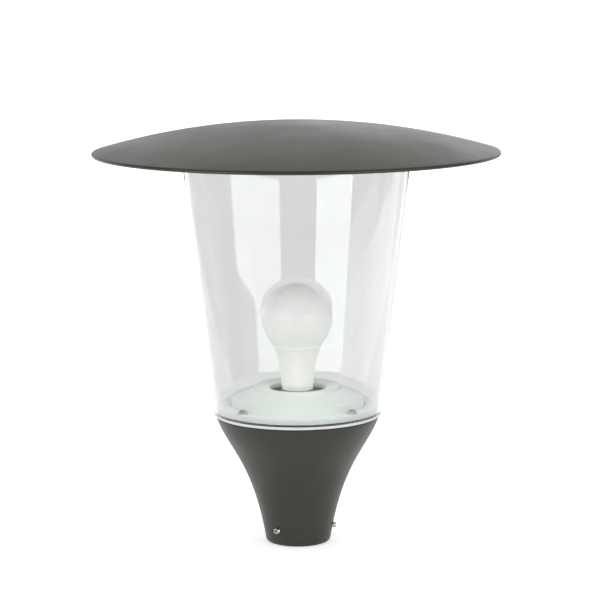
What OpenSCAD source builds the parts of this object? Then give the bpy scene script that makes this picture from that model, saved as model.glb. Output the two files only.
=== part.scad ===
// Post-top street lamp head.
// A flared spigot casting clamps onto a round post and carries a clear conical diffuser.
// A shallow dish canopy closes the top, and a screw-in lamp stands on a white pan inside.
// Millimetres. The origin is the centre of the casting's bottom edge, +Z up, front at -Y.

/* [Spigot casting] */
// Height from the bottom edge to the gasket seat
base_h = 112; // [108:1:130]
// Outer radius of the collar at the bottom
collar_r = 28.6; // [28.2:0.1:31]
// Outer radius at the gasket seat
flare_r = 71.2; // [70:0.1:76]
// How far the upper handle of the flare's curve runs inwards
flare_top_in = 9.8; // [9:0.1:12]
// How far the upper handle of the flare's curve runs down
flare_top_down = 28.5; // [24:0.5:32]
// How far the lower handle of the flare's curve runs outwards
flare_low_out = 11.9; // [10:0.1:13]
// How far the lower handle of the flare's curve runs up
flare_low_up = 68; // [62:1:72]
// Thickness of the cast skin
base_wall = 4; // [3:0.1:4.5]
// Radius of the opening inside the gasket seat
seat_bore_r = 58; // [57:0.1:59]
// Height of the rounded bottom edge
edge_h = 4.6; // [2:0.1:6]
// Depth of the rounded bottom edge
edge_w = 3.2; // [1:0.1:3.4]
// Width of the flat foot that is always left beside the socket
foot_w = 0.8; // [0.5:0.1:1]
// Radius of the cast posts that carry the tray
post_r = 5; // [4.5:0.1:5.5]
// Depth of the tapped holes in the posts
post_hole_depth = 12; // [10:1:14]

/* [Post socket] */
// Radius of the socket bore
socket_r = 24.5; // [23.5:0.1:24.8]
// Depth of the socket, from its mouth to the post stop
socket_depth = 60; // [54:1:64]
// Wall of the sleeve around the socket
sleeve_wall = 4; // [3:0.5:5]
// Thickness of the post stop
stop_t = 4; // [3:0.5:5]
// Radius of the cable hole in the post stop
stop_hole_r = 9; // [8:0.5:11]
// Width of the pocket's floor between the sleeve and the skin
pocket_w = 4; // [3:0.5:6]

/* [Set screws] */
// Number of set screws that clamp the post
set_screw_n = 3; // [2:1:4]
// Height of the set screws above the bottom edge
set_screw_z = 14; // [12:1:20]
// Radius of a set screw
set_screw_r = 2.5; // [2:0.1:3.5]
// Length of a set screw
set_screw_len = 8; // [8:0.5:14]
// How far a set screw's tip stays back from the bore
set_screw_back = 0.5; // [0.3:0.1:1]
// Angle of the first set screw, from the front towards +X
set_screw_angle = -36; // [-60:1:0]

/* [Diffuser] */
// Height of the diffuser
diffuser_h = 238.8; // [200:1:300]
// Outer radius of the diffuser at its top edge
diffuser_top_r = 99.9; // [94:0.1:106]
// Wall of the diffuser
diffuser_wall = 3; // [2.5:0.1:3.5]
// How far the diffuser overhangs the casting at the seat
diffuser_overhang = 1.3; // [0:0.1:2]
// Thickness of the diffuser's bottom flange
flange_t = 3; // [2.5:0.1:4]
// How far the bead stands out at the top edge
bead_out = 3.1; // [2.6:0.1:4]
// Height of the bead
bead_h = 4; // [3:0.1:6]

/* [Clamped joint] */
// Thickness of the gaskets
gasket_t = 1; // [0.8:0.1:2]
// How far the gaskets and the diffuser's flange stay outside the seat opening
flange_margin = 2; // [1.5:0.1:2.5]
// Thickness of the clamp ring
ring_t = 4; // [3:0.1:6]
// Gap between the clamp ring and the diffuser's wall
ring_gap = 0.6; // [0.3:0.1:0.8]
// Radius of the clamp ring's rounded edge
ring_edge = 1.2; // [0.4:0.1:1.5]
// Number of clamp screws
clamp_screw_n = 4; // [3:1:8]
// Distance from the clamp ring's outer edge to the screw circle
clamp_screw_inset = 4.7; // [4.5:0.1:5.2]
// Depth of the clamp screws' thread in the casting
clamp_thread = 6; // [5:0.1:6.5]
// Radius of the clamp screws' washers
clamp_washer_r = 4.1; // [4:0.1:4.3]

/* [Lamp pan] */
// Thickness of the pan's sheet
pan_t = 1.2; // [0.8:0.1:1.5]
// Gap between the pan's upright wall and the clamp ring
pan_gap = 0.7; // [0.4:0.1:1]
// Outer radius of the pan's upright wall
pan_wall_r = 57.9; // [57:0.1:58.5]
// Height of the pan's top above its flange
pan_h = 20.1; // [17:0.1:24]
// Height of the shoulder above the flange
shoulder_h = 11; // [9:0.1:13]
// Radius of the bend at the shoulder
shoulder_bend = 1.6; // [1.5:0.1:3]
// Radius of the raised plate in the pan's top
step_r = 36.9; // [33:0.1:40]
// Height of the step around the raised plate
step_h = 2.4; // [1.5:0.1:3]
// Radius of the lamp hole
lamp_hole_r = 24.4; // [23.5:0.1:27]
// Depth of the lamp hole's turned-down lip
lip_h = 4; // [2:0.1:6]

/* [Lamp] */
// Largest radius of the globe
globe_r = 30.6; // [28:0.1:34]
// Height of the globe's centre above the bottom of the housing
globe_up = 59.5; // [57:0.5:66]
// Height of the seam between housing and globe
seam_up = 36; // [32:0.5:38]
// Radius of the housing at the seam
seam_r = 21.6; // [20:0.1:22.5]
// Radius at the bottom of the housing
neck_r = 14; // [13.6:0.1:15]
// Length of the screw cap, from the housing to the contact's tip
cap_len = 27; // [26:0.5:29]
// Largest radius of the cap's thread
cap_r = 13.2; // [12.8:0.1:13.4]
// Depth of the cap's thread
cap_thread = 0.9; // [0.5:0.1:1]
// Pitch of the cap's thread
cap_pitch = 3.6; // [3:0.1:4]
// Turns of the cap's thread
cap_turns = 4; // [3:1:5]
// Height of the cap that shows above the lampholder
cap_show = 7; // [5:0.5:8]

/* [Lampholder] */
// Height of the porcelain body
holder_h = 47; // [44:0.5:50]
// Radius of the porcelain body
holder_r = 21; // [20:0.1:21.6]
// Wall thickness of the screw shell
shell_t = 0.5; // [0.4:0.1:0.8]
// Running gap between the lamp's cap and the screw shell
shell_gap = 0.25; // [0.2:0.05:0.4]
// Gap between the screw shell and the porcelain
shell_fit = 0.2; // [0.1:0.05:0.4]
// Length of the screw shell
shell_len = 17; // [14:0.5:17.5]
// Width of the centre contact's strip
contact_w = 6; // [4:0.5:8]
// Thickness of the centre contact's strip
contact_t = 0.5; // [0.4:0.1:0.8]
// Distance of the lampholder's fixing screws from the axis
holder_screw_x = 13; // [12:0.5:14]
// Length of the fixing screws in the porcelain
holder_thread = 7; // [6:0.5:8]

/* [Tray] */
// Distance from the gasket seat down to the tray's top
tray_down = 28; // [26:0.5:29]
// Thickness of the tray
tray_t = 1.5; // [1:0.1:2]
// Gap between the tray's edge and the casting's skin
tray_gap = 1.5; // [1:0.1:2]
// Length of the tray screws in the posts
tray_thread = 8; // [6:0.5:10]
// Distance from the tray's edge to the circle of its screws
tray_screw_inset = 7.5; // [7:0.1:8]
// Radius of the cable hole in the tray
tray_hole_r = 6.5; // [6:0.1:7]

/* [Terminal block] */
// Distance between the poles
pole_pitch = 10; // [9:0.5:10.5]
// Depth of the block, front to back
block_d = 16; // [15:0.5:16.5]
// Height of the block
block_h = 15; // [14:0.5:18]
// Distance from the lampholder to the block
block_gap = 7; // [6.5:0.1:7]
// Outer radius of a brass terminal
terminal_r = 3.2; // [2.8:0.1:3.4]
// Bore radius of a brass terminal
terminal_bore_r = 1.7; // [1.4:0.1:1.9]
// Height of the terminals above the tray
terminal_up = 6; // [5.5:0.1:6.5]
// Radius of the internal wires
wire_r = 1.1; // [0.8:0.1:1.2]

/* [Cable clamp] */
// Distance from the lampholder to the cable's middle
cable_gap = 14; // [13:0.5:15]
// Radius of the cable that the clamp takes
cable_r = 4; // [3.5:0.1:4.2]
// Width of the clamp's bar along the cable
clamp_bar_w = 8; // [7:0.5:9]
// Width of the clamp's feet
clamp_foot = 5; // [5:0.1:5.5]
// Height of the clamp's feet
clamp_foot_h = 4; // [3:0.5:5]
// Wall of the clamp over the cable
clamp_wall = 2.5; // [2:0.1:3]

/* [Canopy] */
// Radius of the canopy at its rim
canopy_r = 175; // [150:1:220]
// Rise of the dish, from its rim to its apex
canopy_rise = 25; // [20:0.5:40]
// Thickness of the spun sheet
canopy_t = 1.5; // [1:0.1:2]
// Thickness of the folded hem at the rim
hem_t = 3.2; // [3:0.1:4]
// Width of the folded hem
hem_w = 7; // [4:0.5:12]
// Radius of the welded bosses under the canopy
boss_r = 5; // [4.5:0.1:6]

/* [Canopy ring] */
// Thickness of the seal between the diffuser and the ring
seal_t = 2; // [1.5:0.1:3]
// Thickness of the ring's flat
ring_flat_t = 2; // [1.5:0.1:3]
// Thickness of the ring's skirt
skirt_t = 3; // [2.5:0.1:4]
// Gap between the skirt and the diffuser's bead
skirt_gap = 0.6; // [0.4:0.1:1]
// How far the skirt hangs below the retaining screws' axis
skirt_below = 4.6; // [4:0.1:6]
// How far the ring's flat reaches inwards past the stud washers
ring_flat_past = 2; // [1:0.1:4]
// Number of studs, and of retaining screws in the skirt
stud_n = 3; // [3:1:6]
// Gap between the seal and the stud washers
stud_gap = 3.4; // [2.5:0.1:4]
// Radius of a stud
stud_r = 2.5; // [2:0.1:2.6]
// Gap between the ring's flat and the dish above its edge
canopy_gap = 0.5; // [0.3:0.1:2]

/* [Fasteners] */
// Radius of the main machine screws
screw_r = 2; // [1.8:0.05:2.1]
// Radius of a main screw's head
head_r = 3.5; // [3.3:0.1:3.8]
// Height of a main screw's head
head_h = 2.4; // [2:0.1:3]
// Thickness of the washers
washer_t = 0.8; // [0.5:0.1:1]
// Radial play of a screw in its thread
thread_gap = 0.1; // [0.05:0.05:0.15]
// Radial play of a screw in a clearance hole
hole_gap = 0.3; // [0.2:0.05:0.4]

/* [Hidden] */
$fn = 96;
eps = 0.01;
curve_n = 28;
bend_n = 8;
over = 1;

// Heights of the clamped joint, from the seat upwards
flange_z = base_h + gasket_t;
upper_gasket_z = flange_z + flange_t;
pan_z = upper_gasket_z + gasket_t;
ring_z = pan_z + pan_t;
ring_top = ring_z + ring_t;

// The diffuser's cone, with its wall measured level
diffuser_r = flare_r + diffuser_overhang;
diffuser_top = flange_z + diffuser_h;
cone_slope = (diffuser_top_r - diffuser_r) / diffuser_h;
wall_level = diffuser_wall * sqrt(1 + cone_slope * cone_slope);
function cone_r(z) = diffuser_r + cone_slope * (z - flange_z);

// Radii of the clamped joint
gasket_in_r = seat_bore_r + flange_margin;
ring_in_r = pan_wall_r + pan_gap;
ring_out_r = cone_r(pan_z) - wall_level - ring_gap;
clamp_circle_r = ring_out_r - clamp_screw_inset;
clamp_hole_r = screw_r + hole_gap;
function clamp_angle(i) = (i + 0.5) * 360 / clamp_screw_n;

// The casting's outer curve, as a list of [radius, height] from the seat down
function curve(p, n) = [for (i = [0 : n]) let (t = i / n, u = 1 - t)
    u * u * u * p[0] + 3 * u * u * t * p[1] + 3 * u * t * t * p[2] + t * t * t * p[3]];
foot_edge_w = min(edge_w, collar_r - socket_r - foot_w);
flare = curve([
    [flare_r, base_h],
    [flare_r - flare_top_in, base_h - flare_top_down],
    [collar_r + flare_low_out, edge_h + flare_low_up],
    [collar_r, edge_h]
], curve_n);
edge = [for (i = [1 : bend_n]) let (a = 90 * i / bend_n)
    [collar_r - foot_edge_w * (1 - cos(a)), edge_h * (1 - sin(a))]];

// Paths of bent sheet: unit vectors, mitred offsets and the closed section
function unit(v) = v / norm(v);
function left(v) = [-v[1], v[0]];
function along(p, i) = unit(p[i + 1] - p[i]);
function mitre(a, b) = (left(a) + left(b)) / (1 + a * b);
function side(p, i) = i == 0 ? left(along(p, 0))
    : i == len(p) - 1 ? left(along(p, i - 1))
    : mitre(along(p, i - 1), along(p, i));
function shifted(p, t) = [for (i = [0 : len(p) - 1]) p[i] + t * side(p, i)];
function reversed(p) = [for (i = [len(p) - 1 : -1 : 0]) p[i]];
function sheet(p, t) = concat(p, reversed(shifted(p, t)));
function arc(c, r, a, b, n) = [for (i = [0 : n]) let (w = a + (b - a) * i / n)
    c + r * [cos(w), sin(w)]];

// The casting's inner curve, and its radius at a height
flare_inner = shifted(flare, -base_wall);
skin_points = [for (i = [len(flare_inner) - 1 : -1 : 0]) [flare_inner[i][1], flare_inner[i][0]]];
function skin_r(z) = lookup(z, skin_points);
sleeve_r = socket_r + sleeve_wall;
pocket_r = sleeve_r + pocket_w;
pocket_curve = [for (p = flare_inner) if (p[0] > pocket_r) p];
pocket_z = pocket_curve[len(pocket_curve) - 1][1];

// The tray and what stands on it
tray_top = base_h - tray_down;
tray_z = tray_top - tray_t;
tray_r = skin_r(tray_z) - tray_gap;
tray_circle_r = tray_r - tray_screw_inset;
tray_angles = [0, 120, 240];
tray_post_top = tray_z;
holder_top = tray_top + holder_h;
bulb_z = holder_top + cap_show;
tip_z = bulb_z - cap_len;

// Lamp cap and screw shell: the same wave, apart by the running gap
thread_z = bulb_z - 6;
wave_n = 8;
function wave(gap) = [for (i = [0 : cap_turns * wave_n])
    [cap_r + gap - cap_thread * (1 - cos(360 * i / wave_n)) / 2,
     thread_z - cap_pitch * i / wave_n]];
thread_end_z = thread_z - cap_pitch * cap_turns;
shell_top = holder_top - 0.5;
shell_z = shell_top - shell_len;
shell_r = cap_r + shell_gap + shell_t;
holder_bore_r = shell_r + shell_fit;
contact_chamber_r = 10;
rivet_x = -6;
rivet_r = 1.2;
rivet_len = 6;
holder_floor = tip_z - 5;
wire_entry_z = tray_top + terminal_up;
wire_entry_r = wire_r + 0.6;
wire_entry_in = holder_r - 7;

// Terminal block: three poles side by side behind the lampholder
pole_n = 3;
block_front = holder_r + block_gap;
block_w = pole_pitch * pole_n;
terminal_len = block_d - 2;
terminal_z = tray_top + terminal_up;
terminal_rows = [block_front + block_d * 0.28, block_front + block_d * 0.72];
terminal_screw_r = 1.5;
terminal_screw_len = 5.5;
terminal_gap = 0.2;
block_mid = block_front + block_d / 2;
block_screw_r = 1.4;
block_screw_x = pole_pitch / 2;
block_sink = 4;
function pole_x(i) = (i - (pole_n - 1) / 2) * pole_pitch;

// Cable clamp and the tray's cable hole, left of the lampholder
cable_x = -(holder_r + cable_gap);
cable_y = -12;
tray_hole = [-22, -(holder_r + 10)];
clamp_screw_x = cable_r + clamp_foot / 2;
clamp_screw_r = 1.4;
clamp_head_r = 2.2;

// Rubber grommets
grommet_wall = 2;
grommet_lip = 1.5;
grommet_fit = 0.1;
grommet_web_z = socket_depth + grommet_lip + grommet_fit;

// Upper end of the diffuser and the ring above it
seal_in_r = diffuser_top_r - diffuser_wall - 0.5;
bead_r = diffuser_top_r + bead_out;
ring_flat_z = diffuser_top + seal_t;
ring_flat_top = ring_flat_z + ring_flat_t;
skirt_in_r = bead_r + skirt_gap;
skirt_out_r = skirt_in_r + skirt_t;
bead_z = diffuser_top - bead_h;
retain_z = bead_z - screw_r - 0.4;
retain_tip_r = cone_r(retain_z + screw_r) + 0.5;
skirt_z = retain_z - skirt_below;
retain_angle = 60;

// The canopy's dish is a cap of a sphere
dish_r = (canopy_r * canopy_r + canopy_rise * canopy_rise) / (2 * canopy_rise);
dish_in_r = dish_r - canopy_t;
dish_z = ring_flat_top + canopy_gap - sqrt(dish_in_r * dish_in_r - skirt_out_r * skirt_out_r);
function dish_under(r) = dish_z + sqrt(dish_in_r * dish_in_r - r * r);
hem_mid_r = dish_r - hem_t / 2;
hem_angle = asin((canopy_r - hem_t / 2) / hem_mid_r);
hem_sweep = hem_w / dish_r * 180 / PI;
nut_h = 4;
nut_r = 4.6;
stud_washer_r = 5;
stud_circle_r = seal_in_r - stud_gap - stud_washer_r;
ring_flat_in_r = stud_circle_r - stud_washer_r - ring_flat_past;
stud_below = washer_t + nut_h + 1.5;

// The pan's upper surface, from its flange up to the lamp hole
pan_top = pan_z + pan_t + pan_h;
shoulder_at = [pan_wall_r - shoulder_bend, ring_z + shoulder_h - shoulder_bend];
cone_foot = shoulder_at + shoulder_bend * [cos(72), sin(72)];
cone_top = [step_r + 0.7, pan_top - step_h];
lip_z = pan_top - 1.3;
pan_path = concat(
    [[ring_out_r - 0.3, ring_z], [pan_wall_r, ring_z]],
    arc(shoulder_at, shoulder_bend, 0, 54, 3),
    curve([
        cone_foot,
        cone_foot * 0.67 + cone_top * 0.33 + [0, 0.3],
        cone_foot * 0.33 + cone_top * 0.67 + [0, 0.5],
        cone_top
    ], 8),
    [[step_r, pan_top]],
    arc([lamp_hole_r + 1.5, lip_z - 1.5], 1.5, 93, 180, 4),
    [[lamp_hole_r, lip_z - lip_h]]
);

// Smooth route through chosen points, and a round wire swept along it
function spline(a, b, c, d, t) = 0.5 * ((2 * b) + (c - a) * t
    + (2 * a - 5 * b + 4 * c - d) * t * t + (3 * b - a - 3 * c + d) * t * t * t);
function pick(p, i) = p[max(0, min(len(p) - 1, i))];
function route(p, n) = concat(
    [for (i = [0 : len(p) - 2], k = [0 : n - 1])
        spline(pick(p, i - 1), p[i], p[i + 1], pick(p, i + 2), k / n)],
    [p[len(p) - 1]]
);
function heading(p, i) = unit(pick(p, i + 1) - pick(p, i - 1));
function carry(n, t) = unit(n - t * (n * t));
wire_sides = 8;
wire_steps = 3;

// Route of a lamp wire: from its pole around the lampholder into its side (s = -1 or 1)
wire_orbit = holder_r + 5.6;
function lamp_route(s) = [
    [s * pole_pitch, terminal_rows[0] + 2, terminal_z],
    [s * pole_pitch, block_front - 0.5, terminal_z],
    wire_orbit * [s * cos(62), sin(62), 0] + [0, 0, terminal_z],
    wire_orbit * [s * cos(45), sin(45), 0] + [0, 0, terminal_z],
    wire_orbit * [s * cos(28), sin(28), 0] + [0, 0, terminal_z],
    [s * (wire_orbit - 0.4), 5.5, wire_entry_z],
    [s * (wire_orbit - 1.6), 1.9, wire_entry_z],
    [s * (wire_orbit - 4.8), 0, wire_entry_z],
    [s * (wire_entry_in + 1), 0, wire_entry_z]
];

// Route of the earth wire: from the middle pole, over the neutral wire, to the lug
earth_at = tray_circle_r * [sin(120), -cos(120), 0];
lug_t = 0.8;
lug_out = 7;
lug_dir = unit([-0.35, 0.94, 0]);
lug_wire_z = tray_top + lug_t + wire_r;
earth_route = [
    [0, terminal_rows[0] + 2, terminal_z],
    [0, block_front - 0.5, terminal_z],
    [1, block_front - 2.8, terminal_z + 3],
    [4.5, block_front - 3, terminal_z + 7],
    [12, block_front - 2.6, terminal_z + 9.5],
    [19, block_front - 1.5, terminal_z + 9.5],
    earth_at + (lug_out + 6) * lug_dir + [-6.5, -2.5, lug_wire_z + 8.5],
    earth_at + (lug_out + 6.5) * lug_dir + [-1.2, 0, lug_wire_z + 2.4],
    earth_at + (lug_out + 3.5) * lug_dir + [0, 0, lug_wire_z],
    earth_at + (lug_out - 1) * lug_dir + [0, 0, lug_wire_z]
];

// A point on a circle, at an angle from the front towards +X
module around(r, angle, z) {
    rotate([0, 0, angle])
        translate([0, -r, z])
            children();
}

module lathe(points) {
    rotate_extrude()
        polygon(points);
}

// A flat ring with a circle of screw holes
module flat_ring(in_r, out_r, z, t) {
    difference() {
        translate([0, 0, z])
            cylinder(r = out_r, h = t);
        translate([0, 0, z - over])
            cylinder(r = in_r, h = t + 2 * over);
        for (i = [0 : clamp_screw_n - 1])
            around(clamp_circle_r, clamp_angle(i), z - over)
                cylinder(r = clamp_hole_r, h = t + 2 * over, $fn = 32);
    }
}

// A pan-head screw with a crossed recess, its head's underside at z = 0
module pan_screw(r, length, cap_radius, cap_height) {
    crown = arc([0, 0], 1, 0, 90, 6);
    difference() {
        lathe(concat(
            [[0, -length], [r - 0.4, -length], [r, 0.6 - length], [r, 0], [cap_radius, 0]],
            [for (p = crown) [cap_radius * (0.55 + 0.45 * p[0]), cap_height * (0.35 + 0.65 * p[1])]],
            [[0, cap_height]]
        ));
        for (a = [0, 90])
            rotate([0, 0, a])
                translate([-cap_radius * 0.6, -0.45, cap_height * 0.45])
                    cube([cap_radius * 1.2, 0.9, cap_height]);
    }
}

// A flat washer that stands on z = 0
module washer(in_r, out_r, t) {
    difference() {
        cylinder(r = out_r, h = t, $fn = 48);
        translate([0, 0, -over])
            cylinder(r = in_r, h = t + 2 * over, $fn = 48);
    }
}

// A rubber grommet in a hole of a plate that spans z = 0 to plate_t
module grommet(hole_r, plate_t) {
    lip_r = hole_r + grommet_wall;
    lathe([
        [hole_r - grommet_wall, -grommet_lip], [lip_r - 0.5, -grommet_lip],
        [lip_r, 0.5 - grommet_lip], [lip_r, 0], [hole_r - grommet_fit, 0],
        [hole_r - grommet_fit, plate_t],
        [lip_r, plate_t], [lip_r, plate_t + grommet_lip - 0.5],
        [lip_r - 0.5, plate_t + grommet_lip], [hole_r - grommet_wall, plate_t + grommet_lip]
    ]);
}

// A round wire along a list of points
module wire(points) {
    k = len(points);
    first = carry([0.2, 0.1, 1], heading(points, 0));
    normals = [for (i = 0, n = first; i < k; i = i + 1, n = carry(n, heading(points, min(i, k - 1)))) n];
    rings = [for (i = [0 : k - 1], j = [0 : wire_sides - 1])
        let (n = normals[i], b = cross(heading(points, i), n), a = 360 * j / wire_sides)
        points[i] + wire_r * (cos(a) * n + sin(a) * b)];
    sides = [for (i = [0 : k - 2], j = [0 : wire_sides - 1])
        let (m = (j + 1) % wire_sides, a = i * wire_sides, b = a + wire_sides)
        [a + j, b + j, b + m, a + m]];
    start = [for (j = [0 : wire_sides - 1]) j];
    finish = [for (j = [wire_sides - 1 : -1 : 0]) (k - 1) * wire_sides + j];
    polyhedron(points = rings, faces = concat(sides, [start, finish]));
}

// One casting: outer flare, sleeve for the post, posts for the tray and the screw holes
module base_casting() {
    color("dimgray")
    difference() {
        union() {
            difference() {
                casting_outside();
                casting_hollow();
            }
            cylinder(r = sleeve_r, h = socket_depth + stop_t);
            intersection() {
                casting_outside();
                for (a = tray_angles)
                    around(tray_circle_r, a, pocket_z - over)
                        cylinder(r = post_r, h = tray_post_top - pocket_z + over, $fn = 48);
            }
        }
        translate([0, 0, -over])
            cylinder(r = socket_r, h = socket_depth + over);
        cylinder(r = stop_hole_r, h = socket_depth + stop_t + over, $fn = 64);
        // The grommet's lower lip lies in a recess, so that the post meets the stop
        cylinder(r = stop_hole_r + grommet_wall + grommet_fit, h = grommet_web_z, $fn = 64);
        for (i = [0 : clamp_screw_n - 1])
            around(clamp_circle_r, clamp_angle(i), base_h - clamp_thread - 0.5)
                cylinder(r = screw_r + thread_gap, h = clamp_thread + over, $fn = 32);
        for (a = tray_angles)
            around(tray_circle_r, a, tray_post_top - post_hole_depth)
                cylinder(r = screw_r + thread_gap, h = post_hole_depth + over, $fn = 32);
        for (i = [0 : set_screw_n - 1])
            around(0, set_screw_angle + i * 360 / set_screw_n, set_screw_z)
                rotate([90, 0, 0])
                    cylinder(r = set_screw_r + thread_gap, h = collar_r + 10, $fn = 32);
    }
}

module casting_outside() {
    lathe(concat([[0, base_h]], flare, edge, [[0, 0]]));
}

// The hollow follows the skin and opens straight up through the seat
module casting_hollow() {
    intersection() {
        lathe(concat(
            [[0, base_h + over], [pocket_curve[0][0], base_h + over]],
            pocket_curve,
            [[0, pocket_z]]
        ));
        cylinder(r = seat_bore_r, h = base_h + 2 * over);
    }
}

module set_screws() {
    color("silver")
    for (i = [0 : set_screw_n - 1])
        around(socket_r + set_screw_back, set_screw_angle + i * 360 / set_screw_n, set_screw_z)
            rotate([90, 0, 0])
                difference() {
                    lathe([
                        [0, 0], [set_screw_r * 0.6, 0], [set_screw_r, set_screw_r * 0.4],
                        [set_screw_r, set_screw_len - 0.5],
                        [set_screw_r - 0.5, set_screw_len], [0, set_screw_len]
                    ]);
                    translate([0, 0, set_screw_len - set_screw_r])
                        cylinder(r = set_screw_r * 0.58, h = set_screw_r + over, $fn = 6);
                }
}

module post_grommet() {
    color([0.12, 0.12, 0.12])
    translate([0, 0, grommet_web_z])
        grommet(stop_hole_r, socket_depth + stop_t - grommet_web_z);
}

// The tray is a round steel plate that carries the lampholder and the wiring
module tray() {
    color("lightgray")
    difference() {
        translate([0, 0, tray_z])
            cylinder(r = tray_r, h = tray_t);
        for (a = tray_angles)
            around(tray_circle_r, a, tray_z - over)
                cylinder(r = clamp_hole_r, h = tray_t + 2 * over, $fn = 32);
        for (s = [-1, 1])
            translate([0, s * holder_screw_x, tray_z - over])
                cylinder(r = clamp_hole_r, h = tray_t + 2 * over, $fn = 32);
        for (s = [-1, 1])
            translate([s * block_screw_x, block_mid, tray_z - over])
                cylinder(r = block_screw_r + thread_gap, h = tray_t + 2 * over, $fn = 32);
        for (s = [-1, 1])
            translate([cable_x + s * clamp_screw_x, cable_y, tray_z - over])
                cylinder(r = clamp_screw_r + thread_gap, h = tray_t + 2 * over, $fn = 32);
        translate([tray_hole[0], tray_hole[1], tray_z - over])
            cylinder(r = tray_hole_r, h = tray_t + 2 * over, $fn = 48);
    }
}

module tray_screws() {
    color("silver")
    for (a = [tray_angles[0], tray_angles[2]])
        around(tray_circle_r, a, tray_top)
            pan_screw(screw_r, tray_t + tray_thread, head_r, head_h);
}

module tray_grommet() {
    color([0.12, 0.12, 0.12])
    translate([tray_hole[0], tray_hole[1], tray_z])
        grommet(tray_hole_r, tray_t);
}

// A moulded saddle over the cable's path, open along Y
module cable_clamp() {
    half_w = cable_r + clamp_foot;
    color("ivory")
    translate([cable_x, cable_y + clamp_bar_w / 2, tray_top])
        rotate([90, 0, 0])
            difference() {
                union() {
                    linear_extrude(clamp_bar_w)
                        translate([-half_w, 0])
                            square([2 * half_w, clamp_foot_h]);
                    translate([0, cable_r, 0])
                        cylinder(r = cable_r + clamp_wall, h = clamp_bar_w, $fn = 64);
                }
                translate([0, cable_r, -over])
                    cylinder(r = cable_r, h = clamp_bar_w + 2 * over, $fn = 64);
                translate([-cable_r, -3 * cable_r, -over])
                    cube([2 * cable_r, 4 * cable_r, clamp_bar_w + 2 * over]);
                translate([-half_w, -4 * cable_r, -over])
                    cube([2 * half_w, 4 * cable_r, clamp_bar_w + 2 * over]);
                for (s = [-1, 1])
                    translate([s * clamp_screw_x, -over, clamp_bar_w / 2])
                        rotate([-90, 0, 0])
                            cylinder(r = clamp_screw_r + hole_gap, h = 2 * clamp_foot_h, $fn = 32);
                for (s = [-1, 1])
                    translate([s * clamp_screw_x, clamp_foot_h, clamp_bar_w / 2])
                        rotate([-90, 0, 0])
                            cylinder(r = clamp_head_r + hole_gap, h = 3 * cable_r, $fn = 32);
            }
}

module cable_clamp_screws() {
    color("silver")
    for (s = [-1, 1])
        translate([cable_x + s * clamp_screw_x, cable_y, tray_top + clamp_foot_h])
            pan_screw(clamp_screw_r, clamp_foot_h + tray_t + 1.5, clamp_head_r, 1.6);
}

// The block's housing, with a tunnel for each terminal and wells for the screws
module terminal_block() {
    color("ivory")
    difference() {
        translate([-block_w / 2, block_front, tray_top])
            cube([block_w, block_d, block_h]);
        for (i = [0 : pole_n - 1])
            translate([pole_x(i), block_front - over, terminal_z])
                rotate([-90, 0, 0])
                    cylinder(r = terminal_r + terminal_gap, h = block_d + 2 * over, $fn = 48);
        for (i = [0 : pole_n - 1], y = terminal_rows)
            translate([pole_x(i), y, terminal_z])
                cylinder(r = terminal_screw_r + 0.6, h = block_h, $fn = 32);
        for (s = [-1, 1])
            translate([s * block_screw_x, block_mid, tray_top - over])
                cylinder(r = block_screw_r + hole_gap / 2, h = block_h + 2 * over, $fn = 32);
        for (s = [-1, 1])
            translate([s * block_screw_x, block_mid, tray_top + block_h - block_sink])
                cylinder(r = clamp_head_r + 0.4, h = block_h, $fn = 32);
    }
}

module terminal_tubes() {
    color("gold")
    for (i = [0 : pole_n - 1])
        difference() {
            translate([pole_x(i), block_front + 1, terminal_z])
                rotate([-90, 0, 0])
                    cylinder(r = terminal_r, h = terminal_len, $fn = 48);
            translate([pole_x(i), block_front, terminal_z])
                rotate([-90, 0, 0])
                    cylinder(r = terminal_bore_r, h = terminal_len + 2 * over, $fn = 32);
            for (y = terminal_rows)
                translate([pole_x(i), y, terminal_z])
                    cylinder(r = terminal_screw_r + thread_gap, h = 2 * terminal_r, $fn = 32);
        }
}

module terminal_screws() {
    color("silver")
    for (i = [0 : pole_n - 1], y = terminal_rows)
        translate([pole_x(i), y, terminal_z + wire_r + 0.1])
            difference() {
                cylinder(r = terminal_screw_r, h = terminal_screw_len, $fn = 32);
                translate([-2 * terminal_screw_r, -0.3, terminal_screw_len - 0.8])
                    cube([4 * terminal_screw_r, 0.6, 2]);
            }
}

module block_screws() {
    color("silver")
    for (s = [-1, 1])
        translate([s * block_screw_x, block_mid, tray_top + block_h - block_sink])
            pan_screw(block_screw_r, block_h - block_sink + tray_t + 1.5, clamp_head_r, 1.6);
}

module live_wire() {
    color("saddlebrown")
    wire(route(lamp_route(-1), wire_steps));
}

module neutral_wire() {
    color("royalblue")
    wire(route(lamp_route(1), wire_steps));
}

module earth_wire() {
    color("yellowgreen")
    wire(route(earth_route, wire_steps));
}

// A crimped ring lug under the earth screw
module earth_lug() {
    turn = atan2(lug_dir[1], lug_dir[0]);
    barrel_r = wire_r + 0.7;
    color("goldenrod")
    translate([earth_at[0], earth_at[1], tray_top])
        rotate([0, 0, turn])
            difference() {
                union() {
                    cylinder(r = screw_r + 2.2, h = lug_t, $fn = 48);
                    translate([0, -1.8, 0])
                        cube([lug_out - 1, 3.6, lug_t]);
                    translate([lug_out - 1.5, 0, lug_t + wire_r])
                        rotate([0, 90, 0])
                            cylinder(r = barrel_r, h = 3.5, $fn = 32);
                }
                translate([0, 0, -over])
                    cylinder(r = clamp_hole_r, h = lug_t + 2 * over, $fn = 32);
                translate([lug_out - 2, 0, lug_t + wire_r])
                    rotate([0, 90, 0])
                        cylinder(r = wire_r + 0.15, h = 5, $fn = 32);
                translate([-over, -5, -5])
                    cube([2 * lug_out, 10, 5]);
            }
}

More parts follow.
